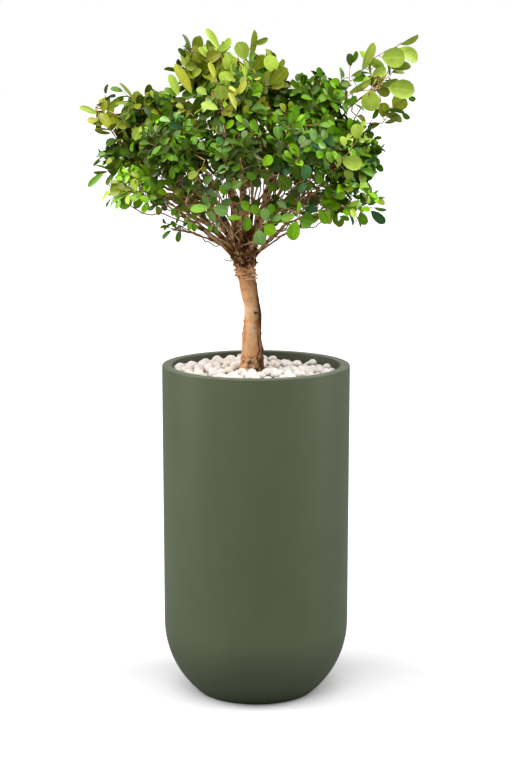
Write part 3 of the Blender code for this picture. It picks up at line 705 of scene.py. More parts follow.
# pale wiry roots that hang over the front of the knuckle, in millimetres
HANGING_ROOTS = (
    ((-47, -52, 925), (-41, -54, 895), (-30, -52, 884), (-32, -46, 872), (-38, -36, 860)),
    ((-23, -54, 920), (-31, -55, 906), (-41, -54, 895)),
    ((-3, -56, 884), (-14, -55, 879), (-28, -50, 872)),
)
# slender bare stems that rise between the boughs, in millimetres
INNER_STEMS = (
    ((-8, -4, 894), (-9, 0, 929), (-13, 10, 974), (-17, 20, 1015)),
    ((0, 2, 893), (0, 8, 929), (0, 16, 973), (4, 24, 1015)),
    ((4, -8, 892), (8, -10, 926), (13, -6, 971), (17, 0, 1016)),
    ((9, 6, 889), (15, 14, 924), (25, 24, 969), (30, 34, 1014)),
    ((13, -4, 888), (23, -8, 922), (36, -4, 967), (47, 0, 1012)),
    ((17, 4, 885), (32, 10, 917), (49, 16, 958), (66, 20, 1000)),
    ((-26, -12, 893), (-34, -16, 927), (-47, -16, 968), (-56, -10, 1009)),
    ((-34, 0, 888), (-49, 4, 918), (-70, 8, 955), (-85, 14, 992)),
    ((-40, -8, 885), (-60, -16, 912), (-86, -20, 942), (-109, -20, 972)),
    ((-38, -20, 861), (-79, -40, 897), (-112, -56, 930), (-141, -70, 965)),
    ((-40, -16, 868), (-82, -36, 917), (-104, -50, 948), (-119, -60, 979)),
    ((-42, -10, 856), (-87, -24, 886), (-123, -40, 918), (-156, -56, 954)),
    ((11, -20, 871), (41, -40, 899), (67, -56, 926), (87, -70, 954)),
    ((11, -10, 862), (53, -30, 891), (93, -44, 918), (130, -52, 937)),
)

# Leafy masses, in millimetres: name, centre, half-sizes, bough's root radius in tenths, twigs, shoots
# on each twig, leaves on each, leaf length, colours of its young leaves and of its grown ones
MASS_SIZES = (
    ("top_left", (-94, -30, 1192), (84, 86, 88), 100, 20, 2, 5, 36, "sunny", "mellow"),
    ("top_right", (12, 5, 1172), (82, 86, 86), 54, 21, 2, 5, 34, "sunny", "ripe"),
    ("front_top", (-36, -125, 1146), (82, 72, 74), 50, 22, 2, 5, 31, "sunny", "leafy"),
    ("shoulder_left", (-192, -20, 1104), (86, 86, 74), 56, 26, 3, 5, 29, "sunny", "leafy"),
    ("shoulder_right", (112, -15, 1130), (90, 90, 78), 56, 28, 3, 5, 28, "green", "green"),
    ("wing_left", (-276, -30, 1124), (60, 58, 54), 42, 14, 0, 4, 32, "sunny", "ripe"),
    ("wing_right", (236, -20, 1174), (76, 64, 94), 50, 12, 0, 4, 38, "limey", "spring"),
    ("mid_front", (-28, -180, 1062), (82, 76, 64), 50, 20, 2, 5, 26, "leafy", "shady"),
    ("mid_front_left", (-138, -125, 1064), (82, 80, 66), 50, 26, 3, 5, 26, "leafy", "shady"),
    ("mid_front_right", (82, -138, 1064), (84, 82, 68), 50, 26, 3, 5, 27, "spring", "leafy"),
    ("mid_left", (-234, 5, 1030), (74, 80, 60), 52, 25, 3, 5, 27, "ripe", "ripe"),
    ("mid_right", (174, -30, 1044), (68, 86, 70), 52, 26, 3, 5, 28, "spring", "leafy"),
    ("low_left", (-216, -70, 982), (88, 74, 50), 54, 14, 2, 5, 26, "lively", "lively"),
    ("low_right", (162, -45, 966), (82, 80, 58), 58, 14, 2, 4, 28, "lively", "spring"),
    ("low_front", (48, -160, 956), (72, 68, 56), 48, 12, 0, 4, 28, "leafy", "leafy"),
    ("low_front_left", (-92, -150, 984), (66, 64, 42), 44, 14, 0, 4, 26, "leafy", "leafy"),
    ("sprig_left", (-157, -30, 902), (38, 36, 36), 32, 6, 0, 3, 20, "spring", "ripe"),
    ("back_top", (-40, 120, 1142), (92, 80, 80), 50, 22, 2, 5, 34, "sunny", "leafy"),
    ("back_left", (-150, 120, 1062), (90, 84, 74), 50, 22, 2, 5, 31, "ripe", "shady"),
    ("back_right", (95, 128, 1072), (92, 84, 74), 50, 22, 2, 5, 31, "spring", "shady"),
    ("back_mid", (-30, 185, 1030), (80, 70, 66), 48, 20, 2, 5, 31, "leafy", "shady"),
    ("low_back_left", (-126, 122, 962), (78, 76, 50), 46, 13, 1, 4, 30, "leafy", "shady"),
    ("low_back_right", (86, 140, 964), (80, 78, 52), 48, 13, 1, 4, 30, "leafy", "shady"),
)


def in_metres(place):
    return Vector([side / 1000 for side in place])


Mass = namedtuple("Mass", "name centre half root_radius twigs shoots leaves leaf_length young grown")
MASSES = [
    Mass(name, in_metres(centre), in_metres(half), root / 10000, *counts, leaf / 1000, young, grown)
    for name, centre, half, root, *counts, leaf, young, grown in MASS_SIZES
]


def spread_directions(directions, widths, hubs):
    """Turns directions from one hub that lie too close together away from each other, a little at
    a time. A thick bough gives way less than a thin one."""
    found = [direction.normalized() for direction in directions]
    for _ in range(SPREAD_ROUNDS):
        for i in range(len(found)):
            for j in range(i):
                wanted = (widths[i] + widths[j] + ROOT_SPACE) / KNUCKLE_RADIUS
                angle = found[i].angle(found[j])
                if hubs[i] == hubs[j] and angle < wanted:
                    push = (found[i] - found[j]).normalized() * (wanted - angle) * 0.5
                    share = widths[j] ** 2 / (widths[i] ** 2 + widths[j] ** 2)
                    found[i] = (found[i] + push * share).normalized()
                    found[j] = (found[j] - push * (1 - share)).normalized()
    return found


def bezier(a, b, c, d, t):
    s = 1 - t
    return a * s**3 + b * (3 * s * s * t) + c * (3 * s * t * t) + d * t**3


def entry_point(centre, half):
    """Where a bough enters its mass: on the side that faces the crown's inside and the knuckle."""
    within = Vector((KNUCKLE.x, KNUCKLE.y, KNUCKLE.z + ENTRY_DROP * (centre.z - KNUCKLE.z)))
    toward = (within - centre).normalized()
    scale = Vector((toward.x / half.x, toward.y / half.y, toward.z / half.z)).length
    return centre + toward * ENTRY_SHARE / scale


def bough_line(centre, half, hub, root, root_radius):
    """Path and radii of the bough from its root on the knuckle to its mass."""
    tip = entry_point(centre, half)
    start = hub + root * ROOT_DEPTH
    reach = (tip - start).length
    inward = (centre - tip).normalized()
    lead = (root + (tip - start).normalized() * BOUGH_LEAN_OUT).normalized()
    bend = tip - inward * BOUGH_END_LENGTH
    start_handle = BOUGH_START_HANDLE if root_radius > THIN_ROOT else THIN_START_HANDLE
    first_handle = start + lead * reach * start_handle
    last_handle = bend - (inward + BOUGH_RISE) * reach * BOUGH_END_HANDLE
    shares = [i / BOUGH_STEPS for i in range(BOUGH_STEPS + 1)]
    path = [bezier(start, first_handle, last_handle, bend, t) for t in shares]
    radii = [root_radius + (BOUGH_TIP_RADIUS - root_radius) * t**BOUGH_TAPER for t in shares]
    return path + [tip], radii + [BOUGH_TIP_RADIUS]


class Limbs:
    """Tapering round limbs, gathered as points and faces, with places along their bark."""

    def __init__(self):
        self.points, self.faces, self.bark, self.tones = [], [], [], []

    def add(self, path, radii, sides, relief, tone=0.5, root_shade_length=0.0):
        along = (path[1] - path[0]).normalized()
        aside = along.orthogonal().normalized()
        travelled, first = 0.0, len(self.points)
        for k, (place, radius) in enumerate(zip(path, radii)):
            ahead = (path[min(k + 1, len(path) - 1)] - path[max(k - 1, 0)]).normalized()
            aside = (aside - ahead * aside.dot(ahead)).normalized()
            other = ahead.cross(aside)
            if k:
                travelled += (place - path[k - 1]).length
            for j in range(sides):
                turn = math.tau * j / sides
                out = aside * math.cos(turn) + other * math.sin(turn)
                ridge = round_noise(turn, 1.7, travelled * 55 + first)
                ripple = round_noise(turn, 3, travelled * 190 + first)
                self.points.append(place + out * radius * (1 + relief * (ridge + 0.6 * ripple)))
                self.bark.append((turn / math.tau * radius * 6, travelled))
                # painted shade near the bough's root
                shade = ease(travelled, root_shade_length * 0.3, root_shade_length) if root_shade_length else 1.0
                self.tones.append(tone * shade - 0.5 * (1 - shade))
        for k in range(len(path) - 1):
            for j in range(sides):
                low, high = first + k * sides, first + (k + 1) * sides
                self.faces.append((low + j, low + (j + 1) % sides, high + (j + 1) % sides, high + j))
        for ring, place, flip in ((first, path[0], True), (first + (len(path) - 1) * sides, path[-1], False)):
            self.points.append(place.copy())
            self.bark.append((0.0, 0.0))
            self.tones.append(tone)
            for j in range(sides):
                pair = (ring + (j + 1) % sides, ring + j) if flip else (ring + j, ring + (j + 1) % sides)
                self.faces.append((*pair, len(self.points) - 1))

    def make(self, name, finish):
        made = mesh_piece(name, self.points, self.faces, finish)
        layer = made.data.uv_layers.new(name="bark")
        order = np.empty(len(made.data.loops), int)
        made.data.loops.foreach_get("vertex_index", order)
        layer.data.foreach_set("uv", np.array(self.bark)[order].ravel())
        add_attributes(made, tone=self.tones)
        return made


def wandering(path, amount, seed, kinks=0.25):
    """The path with a slow wander and small kinks, nothing at its ends."""
    found = []
    for k, place in enumerate(path):
        share = k / (len(path) - 1)
        sway = Vector([noise.noise(Vector((share * 3.2, seed, axis * 7.3))) for axis in range(3)])
        kink = Vector([noise.noise(Vector((share * 15, seed + 0.5, axis * 5.1))) for axis in range(3)])
        found.append(place + (sway + kink * kinks) * amount * math.sin(math.pi * share))
    return found


def drawn_out(first, last, steps):
    """Radii that taper from first to last."""
    return [first + (last - first) * (i / steps) ** BOUGH_TAPER for i in range(steps + 1)]


def straight(start, away, length, steps):
    return [start + away * length * i / steps for i in range(steps + 1)]


def through(corners, steps):
    """Places along straight lines from corner to corner."""
    found = [corners[0]]
    for start, end in zip(corners[:-1], corners[1:]):
        found += [start.lerp(end, i / steps) for i in range(1, steps + 1)]
    return found


def from_millimetres(corners, steps):
    return [at * 0.001 for at in through([Vector(corner) for corner in corners], steps)]


def outwards(turn, rise):
    return Vector((math.cos(turn), math.sin(turn), rise)).normalized()


def under_bark(height, turn):
    """A place a little inside the trunk's skin, where a stub or a flake is rooted."""
    middle, radius = smooth_read(TRUNK_STATIONS, height)
    return Vector((middle + math.cos(turn) * radius * 0.8, TRUNK_Y + math.sin(turn) * radius * 0.8, height))


rng = random.Random(5)
hubs, aims = [], []
for mass in MASSES:
    tip = entry_point(mass.centre, mass.half)
    low = (tip - KNUCKLE).normalized().z < LOW_RISE
    hubs.append(KNUCKLE - LOW_DROP * (1.0 if mass.root_radius > THIN_ROOT else 0.3) if low else KNUCKLE)
    aims.append(tip - hubs[-1])
roots = spread_directions(aims, [mass.root_radius for mass in MASSES], hubs)
limbs = Limbs()
carriers = []
for index, (mass, hub, root) in enumerate(zip(MASSES, hubs, roots)):
    centre, half = mass.centre, mass.half
    thick = mass.root_radius > THICK_ROOT
    path, radii = bough_line(centre, half, hub, root, mass.root_radius)
    travelled = 0.0
    for k in range(len(path)):
        travelled += (path[k] - path[k - 1]).length if k else 0
        radii[k] *= (1.0 if thick else THINNER) * (1 + SWELLING * math.exp(-travelled / SWELLING_LENGTH))
    bough_path = wandering(path, BOUGH_WANDER, index)
    sides = THICK_SIDES if thick else BOUGH_SIDES
    limbs.add(bough_path, radii, sides, BOUGH_RELIEF, rng.uniform(*BOUGH_TONES), ROOT_SHADE_LENGTH)
    ends = [(path[-1], (centre - path[-1]).normalized())]
    forks = FORKS if half.x > 0.05 else 1
    for fork in range(forks):
        share = FORK_FROM + (FORK_TO - FORK_FROM) * (fork + rng.random()) / forks
        k = round(share * BOUGH_STEPS)
        start, along = path[k], (path[k + 1] - path[k]).normalized()
        aim = Vector([rng.uniform(-FORK_REACH, FORK_REACH) for _ in range(3)])
        goal = centre + Vector([a * h for a, h in zip(aim, half)])
        reach = (goal - start).length
        lead = along + Vector([rng.gauss(0, FORK_SPREAD) for _ in range(3)])
        lead = start + lead * reach * FORK_START_HANDLE
        arrive = goal - ((goal - start).normalized() + BOUGH_RISE) * reach * FORK_END_HANDLE
        fork_path = [bezier(start, lead, arrive, goal, i / FORK_STEPS) for i in range(FORK_STEPS + 1)]
        root_width = min(radii[k] * 0.8, rng.uniform(*FORK_RADIUS))
        fork_tone = rng.random()
        if fork and mass.name in ONE_FORK_MASSES:
            continue
        fork_radii = drawn_out(root_width, FORK_TIP_RADIUS, FORK_STEPS)
        ends.append((goal, (fork_path[-1] - fork_path[-2]).normalized()))
        fork_path = wandering(fork_path, FORK_WANDER, index * 7 + 40 + fork, 0.55)
        limbs.add(fork_path, fork_radii, FORK_SIDES, FORK_RELIEF, fork_tone)
    carriers.append(ends)

for _ in range(STUB_COUNT):
    height, turn = rng.uniform(*STUB_HEIGHTS), rng.uniform(0, math.tau)
    away = outwards(turn, rng.uniform(0.1, 1.2))
    length, width = rng.uniform(*STUB_LENGTHS), rng.uniform(*STUB_WIDTHS)
    path = straight(under_bark(height, turn), away, length, 4)
    radii = [width * share for share in STUB_SHARES]
    limbs.add(path, radii, STUB_SIDES, STUB_RELIEF, rng.uniform(0.0, 0.4))
for _ in range(WHISKER_COUNT):
    height, turn = rng.uniform(*WHISKER_HEIGHTS), rng.uniform(0, math.tau)
    away = outwards(turn, rng.uniform(-0.3, 1.1))
    length = rng.uniform(*WHISKER_LENGTHS)
    path = straight(under_bark(height, turn), away, length, 8)
    path = [at + Vector((0, 0, 0.35 * length * (i / 8) ** 2)) for i, at in enumerate(path)]
    path = wandering(path, 0.010, rng.uniform(0, 90), 0.5)
    limbs.add(path, drawn_out(*WHISKER_RADII, 8), WHISKER_SIDES, WHISKER_RELIEF, rng.random())
for height, degrees, length, width in SET_STUBS:
    turn = math.radians(degrees)
    path = wandering(straight(under_bark(height, turn), outwards(turn, 0.5), length, 6), 0.002, height * 99)
    limbs.add(path, drawn_out(width, width * 0.6, 6), STUB_SIDES, STUB_RELIEF, 0.2)
for line in HANGING_ROOTS:
    path = wandering(from_millimetres(line, 4), 0.002, line[0][0])
    limbs.add(path, drawn_out(*HANGING_RADII, len(path) - 1), FORK_SIDES, FORK_RELIEF, 1.0)
for line in INNER_STEMS:
    path = wandering(from_millimetres(line, 7), 0.007, line[1][0], 0.5)
    limbs.add(path, drawn_out(*INNER_RADII, len(path) - 1), FORK_SIDES, FORK_RELIEF, rng.uniform(0.1, 1.0))

flakes = Limbs()
for k in range(FLAKE_COUNT):
    height, turn = COLLAR_HEIGHT + rng.uniform(*FLAKE_HEIGHTS), rng.uniform(0, math.tau)
    spread, tilt = rng.uniform(*FLAKE_SPREADS), rng.uniform(-0.004, 0.004)
    middle, radius = smooth_read(TRUNK_STATIONS, height)
    path = []
    shares = [i / FLAKE_STEPS for i in range(FLAKE_STEPS + 1)]
    for share in shares:
        angle = turn + spread * (share - 0.5)
        stand = radius + FLAKE_STAND + rng.uniform(0.0, 0.0006) + FLAKE_CURL * share**3
        rise = height + tilt * (share - 0.5)
        path.append(Vector((middle + math.cos(angle) * stand, TRUNK_Y + math.sin(angle) * stand, rise)))
    width = rng.uniform(*FLAKE_WIDTHS)
    flakes.add(path, [width * math.sin(0.35 + 2.5 * share) for share in shares], FORK_SIDES, FLAKE_RELIEF)
for height, degrees, length, width in SET_FLAKES:
    turn = math.radians(degrees)
    path = straight(under_bark(height, turn), outwards(turn, -0.2), length, 4)
    flakes.add(path, drawn_out(width, width * 0.4, 4), FORK_SIDES, FLAKE_RELIEF)
bark_flakes = flakes.make("bark_flakes", bark)
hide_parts("trunk")

red_bark = Finish("red_bark")
along_bark = red_bark.add("UVMap", "UV", {}, uv_map="bark")
streaks = red_bark.noise(110.0, 5.0, 0.65, place=red_bark.stretch((9, 1, 1), along_bark))
darker_bark, lighter_bark, dirt_and_root_shade_bark = (
    red_bark.ramp(streaks, *stops)
    for stops in (
        ((0.36, (0.030, 0.010, 0.002)), (0.46, (0.300, 0.110, 0.026)), (0.54, (0.960, 0.560, 0.250))),
        ((0.34, (0.160, 0.056, 0.012)), (0.44, (0.700, 0.345, 0.120)), (0.53, (0.980, 0.760, 0.480))),
        ((0.38, (0.003, 0.001, 0.0004)), (0.49, (0.060, 0.021, 0.004)), (0.58, (0.500, 0.230, 0.080))),
    )
)
tone = red_bark.attribute("tone")
toned = red_bark.mix(tone, darker_bark, lighter_bark)
dirt = red_bark.range(red_bark.noise(70.0, 4.0, 0.7), 0.0, 0.95, 0.48, 0.57)
toned = red_bark.mix(dirt, toned, dirt_and_root_shade_bark)
# the lowest tones, with the painted shade near the boughs' roots, take the darkest bark
toned = red_bark.mix(red_bark.range(tone, 1.0, 0.0, -0.5, 0.1), toned, dirt_and_root_shade_bark)
red_bark.coat(toned, red_bark.range(streaks, 0.60, 0.85), 0.04)
red_bark.bump(streaks, 0.6, 0.0010)
boughs = limbs.make("bough_bark", red_bark)
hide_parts(*["bough_" + mass.name for mass in MASSES])


# ---------------------------------------------------------------- twigs
# Brown twigs branch from each bough's end by the seeded rule of the source, and green shoots
# branch from them, with the leaf stalks set on alternate sides. A few sprays that stand clear of
# the rest are each set on their own, and hang on a branch from their mass.

STEM_RADIUS = 0.0024
STEM_TIP_RADIUS = 0.0014
SPRAY_RADIUS = 0.0014
SPRAY_TIP_RADIUS = 0.0007
STALK_RADIUS = 0.0009
TWIG_RADIUS = 0.0012
TWIG_TIP_RADIUS = 0.0007
SHOOT_RADII = (0.0008, 0.00075, 0.0007, 0.0006, 0.0005)
TWIG_WANDER = 0.16
TWIG_STARTS = (0.30, 1.0)
TWIG_REACH = (0.66, 1.0)
TWIG_BOW = (0.0, 0.14)
UPRIGHT_BOW = -0.26
SHORTEST_TWIG = 0.018
TWIG_STEPS = 6
SPRAY_HEEL = 0.8
SPRAY_FOLDS, SPRAY_DROOPS, SPRAY_SHADES = (0.10, 0.50), (0.0, 0.25), (0.35, 0.85)
SHOOT_WANDER = 0.22
SHOOT_STARTS = (0.42, 0.86)
SHOOT_LEANS = (0.5, 1.0)
SHOOT_RANGE = (0.7, 1.2)
SHOOT_BOW = (-0.12, 0.10)
# the share of young sprays low in a mass, and what its top has more
YOUNG_TWIGS = (0.35, 0.5)
YOUNG_SHOOTS = (0.3, 0.4)
BARE_INSIDE = 0.80
CROWN_CENTRE = Vector((-0.02, 0.0, 1.06))
SHOOT_LENGTH = 0.042
SHORTEST_SHOOT = 0.012
LEAF_SPACING = 0.0095
OUTLINE_SHARE = 1.07
SPRAYED_SHARE = 0.90
SPRAYED_MASSES = ("top_left", "top_right")
LEAF_INSIDE = 0.80
# how much a blade faces up for each unit it faces outwards, and how far that wanders
FACE_UP = (0.25, 1.30)
FACE_WANDER = 0.65
LEAF_WANDER = 0.20
LEAF_LEANS, END_LEAF_LEAN = (0.6, 1.1), 0.25
LEAF_FOLDS, LEAF_DROOPS = (0.15, 0.65), (-0.05, 0.34)
LEAF_FLATTENING = (0.3, 0.95)
# how much lighter the leaves of low masses are painted: painted light that offsets the crown's shade over
# them
LOW_LEAF_PAINTED_LIGHT = 0.38
LEAF_LENGTH_RANGE = (0.70, 1.20)
LEAF_WIDTH_RANGE = (0.46, 0.66)


def sphere_points(count):
    """Directions spread evenly over a sphere, on a spiral."""
    found = []
    for i in range(count):
        height = 1 - 2 * (i + 0.5) / count
        turn = i * math.pi * (3 - math.sqrt(5))
        ring = math.sqrt(1 - height * height)
        found.append(Vector((ring * math.cos(turn), ring * math.sin(turn), height)))
    return found


def jittered(rng, direction, amount):
    return (direction + Vector([rng.gauss(0, amount) for _ in range(3)])).normalized()


def outline_reach(direction, half):
    """How far the mass's outline lies from its centre, in a direction."""
    return 1 / Vector((direction.x / half.x, direction.y / half.y, direction.z / half.z)).length


def bent_line(start, end, lift, steps):
    """A line that bows upwards between its ends."""
    bow = Vector((0, 0, (end - start).length * lift))
    shares = [i / steps for i in range(steps + 1)]
    return [start.lerp(end, t) + bow * math.sin(math.pi * t) for t in shares]


def place_on(path, at):
    """A place on a path, at a number of steps from its start."""
    low = min(int(at), len(path) - 2)
    return path[low].lerp(path[low + 1], at - low)


Leaf = namedtuple("Leaf", "base heading across length width fold droop colour shade")


def leaves_along(rng, path, count, longest, centre, colours, found):
    """Alternate leaves on the outer part of a shoot, blades turned outwards and to the sky."""
    # the leaves of low masses are painted lighter, as painted light
    flip, shade = rng.choice((-1, 1)), rng.uniform(0.15, 0.85) + LOW_LEAF_PAINTED_LIGHT * ease(1.03 - centre.z, 0, 0.06)
    for k in range(count):
        share = 1 - k * LEAF_SPACING * rng.uniform(0.85, 1.2) / max(0.012, (path[-1] - path[0]).length)
        if share < 0.12:
            break
        at = share * (len(path) - 1)
        low = min(int(at), len(path) - 2)
        base = place_on(path, at)
        along = (path[low + 1] - path[low]).normalized()
        from_mass = Vector((base.x - centre.x, base.y - centre.y, 0)).normalized()
        from_crown = Vector(((base.x - CROWN_CENTRE.x) / 0.09, base.y / 0.03, 0)).normalized()
        face = from_mass + from_crown * 0.6 + Vector((0, 0, rng.uniform(*FACE_UP)))
        face = jittered(rng, face, FACE_WANDER)
        side = along.cross(face).normalized() * flip * (-1) ** k
        lean = END_LEAF_LEAN if k == 0 else rng.uniform(*LEAF_LEANS)
        heading = jittered(rng, along * math.cos(lean) + side * math.sin(lean), LEAF_WANDER)
        heading = (heading - face * heading.dot(face) * rng.uniform(*LEAF_FLATTENING)).normalized()
        across = heading.cross(face).normalized()
        length = longest * rng.uniform(*LEAF_LENGTH_RANGE) * (0.82 if k == 0 else 1)
        width = length * rng.uniform(*LEAF_WIDTH_RANGE)
        colour = colours[0] if k < 2 else colours[1]
        fold, droop = rng.uniform(*LEAF_FOLDS), rng.uniform(*LEAF_DROOPS)
        own = shade + rng.gauss(0.0, 0.14) + (0.12 if k < 2 else -0.12)
        found.append(Leaf(base, heading, across, length, width, fold, droop, colour, own))


# Colours that each kind of spray is dealt, the first more often
SPRAY_COLOURS = {
    "sunny": ("lime", "olive", "gold", "lime", "olive"),
    "mellow": ("olive", "mid", "lime", "dark", "olive", "fresh"),
    "golden": ("gold", "gold", "olive", "lime"),
    "limey": ("lime",) * 4,
    "spring": ("bright", "fresh", "mid", "bright", "lime", "fresh"),
    "ripe": ("olive", "mid", "dark", "olive", "fresh"),
    "leafy": ("mid", "fresh", "dark", "mid", "dark", "blue", "bright", "dark", "fresh", "pale"),
    "green": ("fresh", "mid", "fresh", "dark", "bright", "mid"),
    "shady": ("dark", "deep", "mid", "dark", "fresh"),
    "dusky": ("dark", "blue", "mid", "pale", "deep", "bright"),
    "lively": ("bright", "lime", "bright", "olive"),
    "vivid": ("bright", "fresh", "bright"),
    # pale leaves that are painted sheen
    "pale_painted_sheen": ("pale", "fresh", "pale", "bright"),
}

